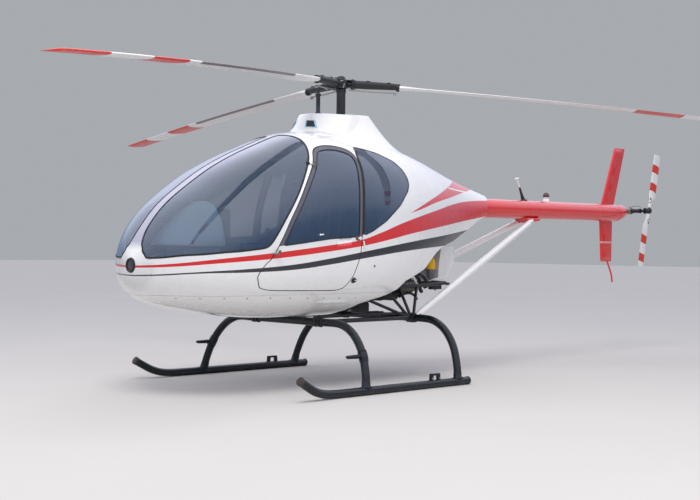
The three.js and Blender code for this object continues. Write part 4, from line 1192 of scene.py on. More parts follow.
HUB_X, HUB_Y, HUB_Z = 0.250, 4.165, 1.458
TAIL_HUB = [HUB_X, HUB_Y, HUB_Z]
TAIL_BRASS = varied("brass ring", (0.42, 0.30, 0.12), 0.6, 30.0, (0.35, 0.5), (500.0, 0.2, 0.0006),
                    Metallic=0.8)
make("tail_drive", [
    lathe([(0, 4.0880), (0.034, 4.0885), (0.030, 4.096), (0.015, 4.102), (0.013, 4.108), (0.013, 4.130),
           (0.020, 4.134), (0.020, 4.142)], [0, 0, 1.450], Y).painted(1),
    rounded_box((-0.036, 0.036), (4.136, 4.200), (1.424, 1.492), 0.020, 0.008, "x"),
    rounded_box((-0.044, -0.034), (4.142, 4.194), (1.430, 1.486), 0.018, 0.003, "x"),
    lathe([(0.033, 0.034), (0.034, 0.040), (0.031, 0.048)], [0, HUB_Y, HUB_Z], X).painted(2),
    lathe([(0.027, 0.044), (0.025, 0.060), (0.021, 0.074), (0.020, 0.120), (0.024, 0.128), (0.024, 0.156),
           (0, 0.158)], [0, HUB_Y, HUB_Z], X).painted(1),
    hose([[0.020, 4.150, 1.492], [0.060, 4.160, 1.505], [0.120, 4.172, 1.510], [0.152, 4.176, 1.496]],
         24, 0.0045, 10, Y)]
    + [bolt([0.036, HUB_Y + 0.027 * math.cos(a), HUB_Z + 0.027 * math.sin(a)], X, 0.0045, 0.018)
       for a in np.arange(6) * math.pi / 3], [CAST, STEEL, TAIL_BRASS], slot="cast_metal",
     stands_for=["tail_gearbox"])
make("tail_hub", [
    tube([[0.161, HUB_Y, HUB_Z], [0.22, HUB_Y, HUB_Z], [HUB_X + 0.022, HUB_Y, HUB_Z]], 0.015, 20, across=Z),
    lathe([(0.028, -0.020), (0.030, -0.013), (0.030, 0.013), (0.026, 0.020)],
          TAIL_HUB, X),
    lathe([(0.014, 0.018), (0.014, 0.026), (0.009, 0.030), (0, 0.031)], TAIL_HUB, X, 6),
    lathe([(0.030, -0.052), (0.032, -0.046), (0.030, -0.040)], TAIL_HUB, X)],
    [STEEL], body="tail_rotor", slot="steel_dark", stands_for=["tail_rotor_hub"])


def aerofoil():
    """Symmetric section of unit chord, a quarter of it ahead of the middle, and of unit thickness.

    Half of it is 5 (0.2969 sqrt(t) - 0.126 t - 0.3516 t^2 + 0.2843 t^3 - 0.1036 t^4).
    """
    t = (1 - np.cos(np.linspace(0, np.pi, 30))) / 2
    half = 5 * (0.2969 * np.sqrt(t) - 0.126 * t - 0.3516 * t**2 + 0.2843 * t**3 - 0.1036 * t**4)
    half = np.maximum(half, 0.02)
    upper = np.column_stack([t - 0.25, half])
    return np.vstack([upper, (upper * [1, -1])[::-1]])


def blade(rows, pitch_at, sink=lambda out: 0.0, nose_only=False):
    """Aerofoil rings out along +X with the leading edge to +Y: rows of distance out, chord, thickness and
    how far the section moves towards the leading edge. nose_only keeps the front tenth of the section."""
    section = aerofoil()
    if nose_only:
        section = np.vstack([section[:8], section[-8:]])
    rings = []
    for out, chord, thick, forward in rows:
        c, s = math.cos(pitch_at(out)), math.sin(pitch_at(out))
        u, v = section[:, 0] * chord - forward, section[:, 1] * thick
        back, up = u * c + v * s, v * c - u * s
        rings.append(np.column_stack([np.full(len(u), out), -back, up - sink(out)]))
    return loft(rings)


def bands(name, distance_of, stripes):
    """White blade paint, worn a little grey, with a red band over each of two spans of distance out."""
    f = Finish(name, Coat_Weight=0.15, Coat_Roughness=0.2, Specular_IOR_Level=0.35)
    out = distance_of(f)
    first, second = (f.within(out, low, high) for low, high in stripes)
    red = f.math("MAXIMUM", first, second)
    ground = f.mix(f.noise(5.0, 6.0), (0.70, 0.69, 0.68), (0.84, 0.83, 0.82))
    f.colour(f.mix(red, ground, f.mix(f.noise(6.0, 5.0), (0.56, 0.038, 0.018), (0.68, 0.040, 0.020))))
    f.roughness(0.32, 0.45, 9.0)
    f.bump(f.noise(120.0, 2.0), 0.02, 0.0004)
    return f.material


def distance(f, a, b):
    return f.math("SQRT", f.math("ADD", f.both(a, a), f.both(b, b)))


LOWER_SHIFT = 0.053


def tail_distance(f):
    """Distance from the tail rotor's middle; the lower blade's bands sit LOWER_SHIFT further out."""
    along, upward = f.math("SUBTRACT", f.y, HUB_Y), f.math("SUBTRACT", f.z, HUB_Z)
    shift = f.both(f.math("LESS_THAN", upward, 0.0), LOWER_SHIFT)
    return f.math("SUBTRACT", distance(f, along, upward), shift)


def main_distance(f):
    return distance(f, f.x, f.y)


TAIL_PAINT = bands("tail blade paint", tail_distance, [(0.212, 0.296), (0.404, 0.486)])
BLADE_PAINT = bands("rotor blade paint", main_distance, [(2.42, 2.83), (3.27, 4.0)])
TAIL_ROWS = [(0.043, 0.050, 0.022, 0), (0.070, 0.050, 0.021, 0), (0.095, 0.056, 0.020, 0),
             (0.120, 0.074, 0.019, 0), (0.145, 0.098, 0.017, 0), (0.170, 0.108, 0.016, 0),
             (0.30, 0.110, 0.0145, 0), (0.45, 0.110, 0.013, 0), (0.560, 0.108, 0.012, 0),
             (0.580, 0.104, 0.010, 0), (0.590, 0.096, 0.006, 0), (0.595, 0.088, 0.002, 0)]
TAIL_LEAN, TAIL_PITCH = math.radians(12), -0.06
cuff_bolts = [bolt([0.125, 0.004, side * 0.007], (0, 0, side), 0.011, 0.006) for side in (1, -1)]
cuff_bolts += [bolt([out, y, 0.010], Z, 0.006) for out, y in ((0.085, 0.012), (0.105, -0.012))]
tail_parts = [blade(TAIL_ROWS, lambda out: TAIL_PITCH),
              tube([[0.034, 0, 0], [0.055, 0, 0], [0.075, 0, 0]], [0.015, 0.015, 0.013], 18, across=Z)]
tail_parts += [shape.painted(1) for shape in cuff_bolts]
for number, sign in ((1, 1), (2, -1)):
    outward = [0, sign * math.sin(TAIL_LEAN), sign * math.cos(TAIL_LEAN)]
    leading = [0, -sign * math.cos(TAIL_LEAN), sign * math.sin(TAIL_LEAN)]
    turn = np.column_stack([outward, leading, [1.0, 0, 0]])
    shapes = [shape.turned(turn).moved(TAIL_HUB) for shape in tail_parts]
    make(f"tail_rotor_blade_{number}", shapes, [TAIL_PAINT, STEEL], body="tail_rotor", slot="blade_white",
         stands_for=[f"tail_blade_{number}"])

# Main rotor: blades, grips, hub, mast and controls

EDGE_STEEL = varied("worn steel leading edge", (0.30, 0.26, 0.27), 0.7, 30.0, (0.4, 0.55),
                    (300.0, 0.1, 0.0005), Metallic=0.5)
HUB_HEIGHT = 2.368
TWIST, TWIST_END = 6.0, 3.3
EDGE_FROM, EDGE_TO = 0.92, 2.30


def droop(out):
    """How far a blade hangs under the hub at a distance out: 0.0513 r + 0.007 r^2."""
    return 0.0513 * out + 0.007 * out * out


def twist(out):
    return math.radians(TWIST * (1 - min(out, TWIST_END) / TWIST_END))


BLADE_ROWS = [(0.468, 0.104, 0.036, 0.006), (0.490, 0.128, 0.037, 0.004), (0.525, 0.158, 0.035, 0.002),
              (0.570, 0.174, 0.031, 0), (0.620, 0.180, 0.0275, 0)]
BLADE_ROWS += [(out, 0.180, 0.0255 - 0.0012 * out, 0) for out in np.linspace(0.70, 3.62, 40)]
BLADE_ROWS += [(3.650, 0.1795, 0.0205, 0), (3.672, 0.177, 0.0195, 0.0008), (3.686, 0.171, 0.017, 0.0022),
               (3.694, 0.162, 0.012, 0.0045), (3.698, 0.154, 0.007, 0.0065), (3.700, 0.148, 0.003, 0.008)]


def on_arm(x, y, z):
    return [x, y, HUB_HEIGHT + z - droop(x)]


def grip():
    """Slim tubular grip with two cross bolts let into its top, a fork at the hub and a rod under it."""
    shapes = [tube([on_arm(0.085, 0, 0), on_arm(0.20, 0, 0.002), on_arm(0.33, 0, 0.005),
                    on_arm(0.478, 0, 0.008)],
                   [0.033, 0.033, 0.030, 0.026], 32, 0.004, across=Z)]
    for out, radius, width in ((0.092, 0.0430, 0.014), (0.112, 0.0365, 0.008), (0.462, 0.0300, 0.022)):
        shapes.append(collar(on_arm(out, 0, 0), (1, 0, -0.055), radius, width, 32))
    for out in (0.215, 0.385):
        shapes.append(rounded_box((out - 0.016, out + 0.016), (-0.020, 0.020),
                                  (on_arm(out, 0, 0.022)[2], on_arm(out, 0, 0.037)[2]), 0.006, 0.003))
        for s in (1, -1):
            shapes.append(bolt(on_arm(out, s * 0.010, 0.035), Z, 0.006, 0.005).painted(2))
    rod_line = [on_arm(0.060, -0.016, -0.050), on_arm(0.25, -0.016, -0.052), on_arm(0.430, -0.016, -0.046)]
    shapes.append(tube(rod_line, 0.0055, 12, across=Z).painted(2))
    shapes.append(lathe([(0.012, -0.010), (0.014, 0), (0.012, 0.010)],
                        on_arm(0.435, -0.016, -0.052), Y, 16).painted(2))
    shapes.append(prism([[0.100, 0.024], [0.158, 0.024], [0.150, 0.098], [0.128, 0.098]],
                        on_arm(0.13, 0, -0.010)[2], on_arm(0.13, 0, 0.004)[2], "z", 0.003))
    shapes.append(tube([[0.139, 0.090, 2.352], [0.100, 0.062, 2.322]], 0.0055, 12, across=Z).painted(2))
    return shapes


ARM_TURNS = [spun(math.radians(angle)) for angle in (52.3, 172.3, 292.3)]
edge_rows = [(out, chord, thick + 0.0008, 0.0007) for out, chord, thick, _ in BLADE_ROWS
             if EDGE_FROM < out < EDGE_TO]
blade_parts = [blade(BLADE_ROWS, twist, droop), blade(edge_rows, twist, droop, True).painted(1)]
blade_parts = [shape.moved([0, 0, HUB_HEIGHT]) for shape in blade_parts]
grip_parts = grip()
for number, spin in enumerate(ARM_TURNS, 1):
    make(f"rotor_blade_{number}", [shape.turned(spin) for shape in blade_parts], [BLADE_PAINT, EDGE_STEEL],
         body="main_rotor", slot="blade_white", stands_for=[f"main_blade_{number}"])
    make(f"rotor_grip_{number}", [shape.turned(spin) for shape in grip_parts], [FRAME_BLACK, STEEL, CAST],
         body="main_rotor", slot="grip_black", stands_for=[f"blade_grip_{number}"])
hub_rows = [(0.052, -0.040), (0.056, -0.034), (0.056, 0.024), (0.050, 0.030), (0.036, 0.033),
            (0.034, 0.046), (0.026, 0.056), (0.012, 0.0605), (0, 0.0615)]
head_parts = [lathe(hub_rows, [0, 0, HUB_HEIGHT], Z, 40)]
links = [tube([[0.020, 0, HUB_HEIGHT], [0.06, 0, HUB_HEIGHT - 0.003], [0.092, 0, HUB_HEIGHT - 0.005]],
              0.0225, 20, across=Z),
         rounded_box((0.030, 0.105), (-0.034, 0.034), (HUB_HEIGHT - 0.034, HUB_HEIGHT - 0.025),
                     0.006, 0.003),
         rounded_box((0.030, 0.105), (-0.034, 0.034), (HUB_HEIGHT + 0.019, HUB_HEIGHT + 0.028),
                     0.006, 0.003),
         tube([[0.084, 0, HUB_HEIGHT - 0.042], [0.084, 0, HUB_HEIGHT + 0.037]], 0.009, 14,
              across=Y).painted(1),
         tube([[0.060, 0.040, HUB_HEIGHT + 0.012], [0.112, 0.042, HUB_HEIGHT + 0.004]], 0.006, 12,
              across=Z).painted(1),
         *(bolt([0.060, y, HUB_HEIGHT + 0.027], Z, 0.006, 0.006).painted(1) for y in (0.020, -0.020))]
for spin in ARM_TURNS:
    head_parts += [shape.turned(spin) for shape in links]
make("rotor_head", head_parts, [STEEL, CAST], body="main_rotor", slot="steel_dark",
     stands_for=["rotor_hub"])
mast_rows = [(0.036, 1.781), (0.036, 2.000), (0.0362, 2.290), (0.040, 2.296), (0.040, 2.322),
             (0.036, 2.3275)]
make("rotor_mast", [lathe(mast_rows, [0, 0, 0], Z, 44)], [STEEL], body="main_rotor", slot="steel_dark",
     stands_for=["mast"])
post_rows = [(0.024, 2.095), (0.022, 2.112), (0.017, 2.120), (0.0165, 2.18), (0.0165, 2.244),
             (0.019, 2.248), (0.019, 2.262), (0.012, 2.268), (0.010, 2.284), (0, 2.285)]
make("control_post", [lathe(post_rows, [0, -0.250, 0], Z, 24),
                      tube([[0, -0.222, 2.256], [0, -0.278, 2.256]], 0.007, 12, across=Z)], [STEEL],
     slot="steel_dark", stands_for=["control_tube"])


# Fittings on the skin, placed by a spot of the body in side view

def on_skin(shapes, y, z, tilt=0.0, lift=0.0):
    """Moves shapes drawn with x rearwards, y up and z outwards onto the left side of the body."""
    place = body_at(np.array(y), turn_at(np.array(y), np.array(z)))
    out = body_normal(place[None])[0]
    rear = np.array([0.0, 1.0, 0.0]) - out * out[1]
    rear /= np.linalg.norm(rear)
    matrix = np.column_stack([rear, np.cross(out, rear), out]) @ spun(tilt)
    return [s.turned(matrix).moved(place + out * lift) for s in shapes]


def hoop(points, radius, level):
    """Round cord along a closed loop of points, level being a direction square to the loop's plane."""
    side = unit(np.cross(np.roll(points, -1, 0) - np.roll(points, 1, 0), level))
    turn = full_turn(10)
    rings = points[:, None] + radius * (side[:, None] * np.cos(turn)[None, :, None]
                                        + np.asarray(level, float) * np.sin(turn)[None, :, None])
    return loft(rings, closed=True)


def ribbon(path, width, thickness, across=X):
    """Flat webbing with soft edges carried along a path, its width running along across."""
    path, across = np.asarray(path, float), np.asarray(across, float)
    normal = unit(np.cross(np.gradient(path, axis=0), across))
    turn = full_turn(12)
    reach = oval_reach(turn, 5)
    rings = (path[:, None] + across * (width / 2 * reach * np.cos(turn))[None, :, None]
             + normal[:, None] * (thickness / 2 * reach * np.sin(turn))[None, :, None])
    return loft(rings)


BRASS = varied("dull brass", (0.20, 0.150, 0.095), 0.5, 30.0, (0.4, 0.55), (500.0, 0.2, 0.0006),
               Metallic=0.7)
HINGE_TOP, HINGE_FOOT = np.array([0.548, -0.771, 1.663]), np.array([0.669, -1.219, 1.013])
hinge_way = (HINGE_FOOT - HINGE_TOP) / np.linalg.norm(HINGE_FOOT - HINGE_TOP)


def knuckle(centre, sign, foot):
    """Half of a hinge: a short barrel on the hinge line, an arm out to its foot, and a bolt on the barrel's
    end.
    """
    foot = np.array(foot)
    start = centre + hinge_way * sign * 0.0004
    end = centre + hinge_way * sign * 0.014
    middle = centre + hinge_way * sign * 0.008
    return [straight(start, end, 0.0085, 18), straight(middle, foot, 0.0055, 12).painted(1),
            bolt(end, hinge_way * sign, 0.006, 0.004).painted(1)]


BLISTER_SPAN, BLISTER_HEIGHT, BLISTER_HALF, BLISTER_DEPTH = (-0.735, -0.395), 0.648, 0.022, 0.011


def blister():
    """Long low bulge on the belly: flattened rings along a level line, sized by sin(t)^0.35."""
    line = level_line(np.linspace(*BLISTER_SPAN, 40), BLISTER_HEIGHT)
    size = np.sin(np.linspace(0, np.pi, 40))[:, None] ** 0.35
    ridge = body_at(line[:, 0], line[:, 1] / GIRTH)
    out = body_normal(ridge)
    down = np.cross(out, [0, 1, 0])
    turn = full_turn(16)
    return loft(ridge[:, None] + down[:, None] * (BLISTER_HALF * size * np.cos(turn))[..., None]
                + out[:, None] * (BLISTER_DEPTH * size * np.sin(turn))[..., None])


inlet = outer_rings[12:23, 96:104]
inlet_out = unit(np.cross(np.gradient(inlet, axis=1), np.gradient(inlet, axis=0)))
inlet_out *= np.sign(inlet_out[..., 0].mean())


def inlet_plate(margin, low, high):
    """Closed plate on the mast fairing's flank between two heights over its skin, less a margin of rows."""
    inner = slice(margin, -margin or None)
    face, lift = inlet[inner, inner], inlet_out[inner, inner]
    r, c = face.shape[:2]
    number = np.arange(r * c).reshape(r, c)
    quads = np.stack([number[:-1, :-1], number[:-1, 1:], number[1:, 1:], number[1:, :-1]], -1)
    quads = quads.reshape(-1, 4)
    rim = np.concatenate([number[0], number[1:, -1], number[-1, -2::-1], number[-2:0:-1, 0]])
    walls = np.stack([rim, rim + r * c, np.roll(rim, -1) + r * c, np.roll(rim, -1)], -1)
    points = np.vstack([(face + lift * high).reshape(-1, 3), (face + lift * low).reshape(-1, 3)])
    return Shape(points, [quads, walls, quads[:, ::-1] + r * c])


def screw(radius, height, paint):
    return [bolt((0, 0, 0), Z, radius, height).painted(paint)]


latch = [rounded_box((-0.030, 0.012), (-0.016, 0.016), (-0.002, 0.004), 0.008, 0.002),
         rounded_box((-0.010, 0.028), (-0.006, 0.007), (0.003, 0.011), 0.004, 0.003).painted(2)]
stem = [lathe([(0.008, -0.002), (0.005, 0.006), (0.005, 0.012)], (0, 0, 0), Z,
              14).painted(2),
        rounded_box((-0.020, 0.020), (-0.005, 0.005), (0.010, 0.017), 0.0045, 0.003).painted(2)]
lever = [prism([[-0.004, -0.032], [0.010, -0.030], [0.005, 0.030], [-0.007, 0.028]], 0.0, 0.008, "z",
               0.003).painted(2)]
VENT_LINE = [[-0.030, 0.0], [-0.018, 0.020], [0.004, 0.022], [0.026, 0.006], [0.040, -0.004],
             [0.022, -0.014], [-0.004, -0.022], [-0.024, -0.016]]
vent = [prism(softened(VENT_LINE, 0.010, 0.002), -0.001, 0.0035, "z", 0.002).painted(3),
        rounded_box((0.004, 0.034), (-0.004, 0.003), (0.003, 0.007), 0.003, 0.002).painted(2)]
BELLY_SCREWS = [(-1.816, 0.692), (-1.704, 0.693), (-1.566, 0.694), (-1.404, 0.693), (-1.212, 0.690),
                (-1.031, 0.687), (-0.853, 0.683), (-0.687, 0.679), (-0.512, 0.675), (-0.330, 0.672)]
door_parts = (knuckle(HINGE_TOP, -1, [0.497, -0.735, 1.667])
              + knuckle(HINGE_FOOT, -1, [0.630, -1.186, 1.020])
              + on_skin(latch, -0.398, 1.120, -0.2, 0.001) + on_skin(stem, -0.800, 1.143, 0.1))
skin_parts = (knuckle(HINGE_TOP, 1, [0.492, -0.799, 1.654]) + knuckle(HINGE_FOOT, 1, [0.630, -1.262, 1.006])
              + on_skin(screw(0.016, 0.010, 3), -0.812, 1.664) + on_skin(lever, -0.338, 1.074, 0.25)
              + on_skin(vent, -0.425, 0.808, 0.1) + on_skin(screw(0.009, 0.003, 3), -0.209, 0.914))
for y, z in BELLY_SCREWS:
    skin_parts += on_skin(screw(0.0065, 0.0025, 1), y, z)
inlet_parts = [inlet_plate(0, -0.001, 0.0025).painted(1), inlet_plate(1, 0.0015, 0.0045)]
for side, right in SIDES:
    make(f"door_fittings_{side}", on_side(door_parts, right), [BRASS, STEEL, PLAIN_WHITE],
         body=f"door_{side}", slot="trim_dark")
    make(f"skin_fittings_{side}", on_side(skin_parts, right), [BRASS, CAST, PLAIN_WHITE, SEAL],
         slot="trim_dark")
    make(f"belly_blister_{side}", on_side([blister()], right), [PLAIN_WHITE], slot="body_white", crease=70)
    make(f"fairing_inlet_{side}", on_side(inlet_parts, right), [SEAL, CONSOLE], slot="trim_dark", crease=30)
    filler = shell(laid([door, outline_moved(door, GAP / 2)], right), 0.012, 0.020, lining=0)
    make(f"door_gap_seal_{side}", [filler], [SEAL], slot="trim_dark")

LENS_GREY = varied("landing lamp lens", (0.075, 0.068, 0.080), 0.5, 60.0, (0.25, 0.4), (200.0, 0.15, 0.001),
                   Coat_Weight=0.3)
make("landing_lamp", [
    lathe([(0.050, -0.030), (0.053, 0.000), (0.0535, 0.012), (0.050, 0.0205), (0.042, 0.0225),
           (0.0365, 0.020), (0.035, 0.008)], [0, -1.985, 0.915], (0, -1, 0), 40),
    lathe([(0, 0.007), (0.0345, 0.010), (0.031, 0.0165), (0.022, 0.0180), (0.012, 0.0187), (0, 0.019)],
          [0, -1.985, 0.915], (0, -1, 0), 36).painted(1)], [FRAME_BLACK, LENS_GREY], slot="lamp",
     stands_for=["landing_light"])

# Inside the cabin

def swollen(shape, cap):
    """Remeshes a base shape and blows it up as cloth under light pressure, no point further than cap."""
    mesh = bpy.data.meshes.new("pad base")
    mesh.from_pydata(shape.points.tolist(), [], [row.tolist() for face in shape.faces for row in face])
    pad = bpy.data.objects.new("pad base", mesh)
    bpy.context.scene.collection.objects.link(pad)
    remesh = pad.modifiers.new("remesh", "REMESH")
    remesh.mode, remesh.voxel_size = "VOXEL", 0.006
    even = bpy.data.meshes.new_from_object(pad.evaluated_get(bpy.context.evaluated_depsgraph_get()))
    pad.modifiers.clear()
    pad.data = even

    def points_of(source):
        rows = np.zeros(len(source.vertices) * 3)
        source.vertices.foreach_get("co", rows)
        return rows.reshape(-1, 3)
    start = points_of(even)
    cloth = pad.modifiers.new("cloth", "CLOTH")
    cloth.settings.quality = 4
    cloth.settings.use_pressure = True
    cloth.settings.uniform_pressure_force = 4.0
    cloth.settings.effector_weights.gravity = 0.0
    for step in range(1, 21):
        bpy.context.scene.frame_set(step)
    moved = points_of(pad.evaluated_get(bpy.context.evaluated_depsgraph_get()).data) - start
    bpy.context.scene.frame_set(1)
    length = np.maximum(np.linalg.norm(moved, axis=1), 1e-9)
    start = start + moved * np.minimum(1, cap / length)[:, None]
    corners = np.zeros(len(even.loops), np.int64)
    even.loops.foreach_get("vertex_index", corners)
    quads = corners.reshape(-1, 4)
    bpy.data.objects.remove(pad)
    return start, quads


def groove(distance, depth):
    """Sewn channel: how deep it is at each distance from its line, depth exp(-(distance / width)^2)."""
    return depth * np.exp(-(distance / GROOVE_WIDTH) ** 2)


def piped(points, loop, level):
    """Cord sewn along an edge: the loop is laid on the nearest points of the pad and evened out."""
    near = np.array([points[np.argmin(((points - p) ** 2).sum(1))] for p in loop])
    for _ in range(3):
        near = (np.roll(near, 1, 0) + near * 2 + np.roll(near, -1, 0)) / 4
    return hoop(near, CORD, level)


SEAT_X = 0.255
GROOVE_WIDTH, CORD = 0.006, 0.0042
GROOVES = (-0.075, 0.075)
cushion_base = rounded_box((SEAT_X - 0.208, SEAT_X + 0.208), (-0.722, -0.288), (0.870, 0.932), 0.045, 0.018)
cushion, cushion_faces = swollen(cushion_base, 0.016)
top = np.clip((cushion[:, 2] - 0.905) / 0.03, 0, 1)
crown = 0.010 * (1 - ((cushion[:, 0] - SEAT_X) / 0.21) ** 2) * (1 - ((cushion[:, 1] + 0.505) / 0.215) ** 2)
cushion[:, 2] += top * np.clip(crown, 0, 1)
for line in GROOVES:
    cushion[:, 2] -= top * groove(cushion[:, 0] - SEAT_X - line, 0.008)
for line in (-0.620, -0.400):
    cushion[:, 2] -= top * groove(cushion[:, 1] - line, 0.006)
rear_share = np.clip((cushion[:, 1] + 0.37) / 0.03, 0, 1)
cushion[:, 2] = np.clip(cushion[:, 2], 0.8606, 0.962 - 0.0128 * rear_share)
cushion[:, 0] = np.clip(cushion[:, 0], SEAT_X - 0.2245, SEAT_X + 0.2245)
round_turn = full_turn(180)
square = oval_reach(round_turn, 7)
edge_loop = np.column_stack([SEAT_X + 0.212 * square * np.cos(round_turn),
                             -0.505 + 0.222 * square * np.sin(round_turn), np.full(180, 0.930)])
cushion_cord = piped(cushion, edge_loop, Z)

BACK_SIDE = [[-0.316, 0.964], [-0.247, 0.964], [-0.189, 1.546], [-0.238, 1.546]]
back_base = prism(softened(BACK_SIDE, 0.030), SEAT_X - 0.205, SEAT_X + 0.205, "x", 0.016)
back, back_faces = swollen(back_base, 0.014)
BACK_FOOT, BACK_RISE, BACK_LEAN = 0.95, 0.61, 0.085
slope = (back[:, 2] - BACK_FOOT) / BACK_RISE
front_face = -0.330 + BACK_LEAN * slope
front = np.clip((front_face + 0.035 - back[:, 1]) / 0.02, 0, 1)
for line in GROOVES:
    back[:, 1] += front * groove(back[:, 0] - SEAT_X - line, 0.008)
for line in (1.12, 1.38):
    back[:, 1] += front * groove(back[:, 2] - line, 0.006)
back[:, 2] = np.clip(back[:, 2], 0.9508, 1.568)
back[:, 1] = np.minimum(back[:, 1], -0.228 + 0.060 * slope)
cord_height = 1.255 + 0.288 * square * np.sin(round_turn)
back_loop = np.column_stack([SEAT_X + 0.208 * square * np.cos(round_turn),
                             -0.322 + BACK_LEAN * (cord_height - BACK_FOOT) / BACK_RISE, cord_height])
back_cord = piped(back, back_loop, (0, 0.98, -0.14))
PIPING = varied("seat piping", (0.055, 0.056, 0.062), 0.7, 30.0, (0.6, 0.75), (900.0, 0.4, 0.0006))
WEBBING = varied("seat belt webbing", (0.06, 0.062, 0.07), 0.7, 60.0, (0.7, 0.8), (1500.0, 0.6, 0.0008),
                 Sheen_Weight=0.2)
# Shoulder belt over the seat's back, as distance ahead of the mast and height
SHOULDER = [[0.155, 1.600], [0.185, 1.588], [0.235, 1.575], [0.262, 1.545], [0.283, 1.42], [0.302, 1.25],
            [0.322, 1.08], [0.345, 1.00], [0.380, 0.972]]


def harness():
    """Two shoulder belts that draw together as they come down, two lap belts and the buckle."""
    belts = []
    for sign in (-1, 1):
        path = [[SEAT_X + sign * (0.095 - 0.05 * k / 8), -y, z] for k, (y, z) in enumerate(SHOULDER)]
        belts.append(ribbon(curve_through(path, 60), 0.046, 0.003))
        lap = [[SEAT_X + sign * 0.216, -0.300, 0.925], [SEAT_X + sign * 0.190, -0.345, 0.975],
               [SEAT_X + sign * 0.12, -0.400, 0.980], [SEAT_X + sign * 0.03, -0.430, 0.976]]
        belts.append(ribbon(curve_through(lap, 40), 0.044, 0.003, (0, 0.95, 0.31)))
    buckle = rounded_box((SEAT_X - 0.032, SEAT_X + 0.032), (-0.462, -0.398), (0.971, 0.988), 0.014, 0.004)
    button = bolt([SEAT_X, -0.430, 0.988], Z, 0.016, 0.006)
    return belts + [buckle.painted(1), button.painted(1)]


PADS = (("cushion", Shape(cushion, [cushion_faces]), cushion_cord, "seat_cushion"),
        ("backrest", Shape(back, [back_faces]), back_cord, "seat_back"))
for side, right in SIDES:
    for kind, pad, cord, carried in PADS:
        piece = make(f"{kind}_{side}", on_side([pad], right), [CLOTH], slot="seat_cloth",
                     stands_for=[f"{carried}_{side}"], crease=180)
        smooth = piece.modifiers.new("subdivision", "SUBSURF")
        smooth.levels = smooth.render_levels = 1
        make(f"{kind}_cord_{side}", on_side([cord], right), [PIPING], slot="seat_cloth", crease=180)
    make(f"harness_{side}", on_side(harness(), right), [WEBBING, STEEL], slot="seat_cloth")

DOME_SIDE = np.array([[-1.800, 1.052], [-1.755, 1.115], [-1.645, 1.230], [-1.530, 1.330], [-1.430, 1.380],
                      [-1.340, 1.378], [-1.295, 1.315], [-1.268, 1.180], [-1.250, 1.052]])
dome_line = softened(DOME_SIDE, 0.030, 0.010)
DOME_MIDDLE, DOME_HALF, DOME_POWER = np.array([-1.42, 1.052]), 0.19, 2.2
dome_rings = []
for place in np.sin(np.linspace(-np.pi / 2, np.pi / 2, 41)) * 0.189:
    share = (1 - min(0.999, abs(place) / DOME_HALF) ** DOME_POWER) ** (1 / DOME_POWER)
    ring = DOME_MIDDLE + (dome_line - DOME_MIDDLE) * [0.45 + 0.55 * share, share]
    dome_rings.append(np.column_stack([np.full(len(ring), place), ring]))
dial_shapes = []
for x, z, size in ((-0.105, 1.255, 0.038), (0.0, 1.270, 0.040), (0.105, 1.255, 0.038),
                   (-0.055, 1.170, 0.030), (0.055, 1.170, 0.030), (-0.120, 1.155, 0.022),
                   (0.120, 1.155, 0.022)):
    rim = [(0, -0.004), (size, -0.004), (size, 0.006), (size * 0.93, 0.008),
           (size * 0.86, 0.005), (0, 0.005)]
    dial_shapes += [lathe(rim, [x, -1.246, z], Y, 28).painted(1),
                    lathe([(0, 0.0052), (size * 0.84, 0.0052), (size * 0.84, 0.0062), (size * 0.80, 0.0062),
                           (0, 0.0058)],
                          [x, -1.246, z], Y, 28).painted(2),
                    straight([x, -1.2392, z], [x + size * 0.35, -1.2392, z + size * 0.55], 0.0018,
                             8).painted(3)]
DIAL = varied("dial face", (0.02, 0.021, 0.024), 0.6, 40.0, (0.1, 0.2), Coat_Weight=1.0)
FOOT_SIDE = softened([[-1.655, 0.622], [-1.620, 1.058], [-1.300, 1.058], [-1.320, 0.622]], 0.02)
panels = [rounded_box((-0.155, 0.155), (-1.254, -1.246), (1.085, 1.325), 0.03, 0.003, "y").painted(1),
          prism(FOOT_SIDE, -0.108, 0.108, "x", 0.010),
          rounded_box((-0.070, 0.070), (-1.312, -1.300), (0.70, 0.98), 0.012, 0.003, "y").painted(1)]
make("console_dome", [loft(dome_rings)] + panels + dial_shapes, [CONSOLE, FRAME_BLACK, DIAL, PLAIN_WHITE],
     slot="trim_dark", stands_for=["instrument_console"], crease=50)
spine = curve_through([[0, -1.470, 1.170], [0, -1.220, 1.350], [0, -0.820, 1.630], [0, -0.430, 1.850],
                       [0, -0.380, 1.960]], 70)
make("centre_spine", [tube(spine, 0.024, 28, across=X),
                      collar(spine[24], spine[25] - spine[23], 0.0270, 0.9, 28),
                      collar(spine[46], spine[47] - spine[45], 0.0270, 0.9, 28)], [FRAME_BLACK],
     slot="frame_black", stands_for=["centre_tube"])
stick = curve_through([[0, -0.850, 0.620], [0, -0.900, 0.760], [0, -0.985, 0.960], [0, -1.020, 1.080]], 40)
stick_parts = [tube(stick, 0.0135, 20, across=X),
               straight([-0.290, -1.020, 1.080], [0.290, -1.020, 1.080], 0.0105, 16),
               lathe([(0.020, -0.016), (0.022, 0), (0.020, 0.016)], [0, -1.02, 1.08], X, 24),
               lathe([(0.050, 0.0), (0.046, 0.014), (0.034, 0.020), (0.030, 0.038), (0.024, 0.044),
                      (0.020, 0.060)], [0, -0.852, 0.6205], Z, 28).painted(1)]
for sign in (-1, 1):
    hand = [(0.013, 0), (0.0155, 0.012), (0.0140, 0.030), (0.0155, 0.048), (0.0140, 0.066), (0.0160, 0.084),
            (0.0185, 0.104), (0.016, 0.120), (0.008, 0.126), (0, 0.127)]
    stick_parts.append(lathe(hand, [sign * 0.290, -1.022, 1.066], (0, 0.12, 1), 24).painted(1))
make("cyclic_stick", stick_parts, [FRAME_BLACK, SEAL], slot="frame_black", stands_for=["control_stick"])
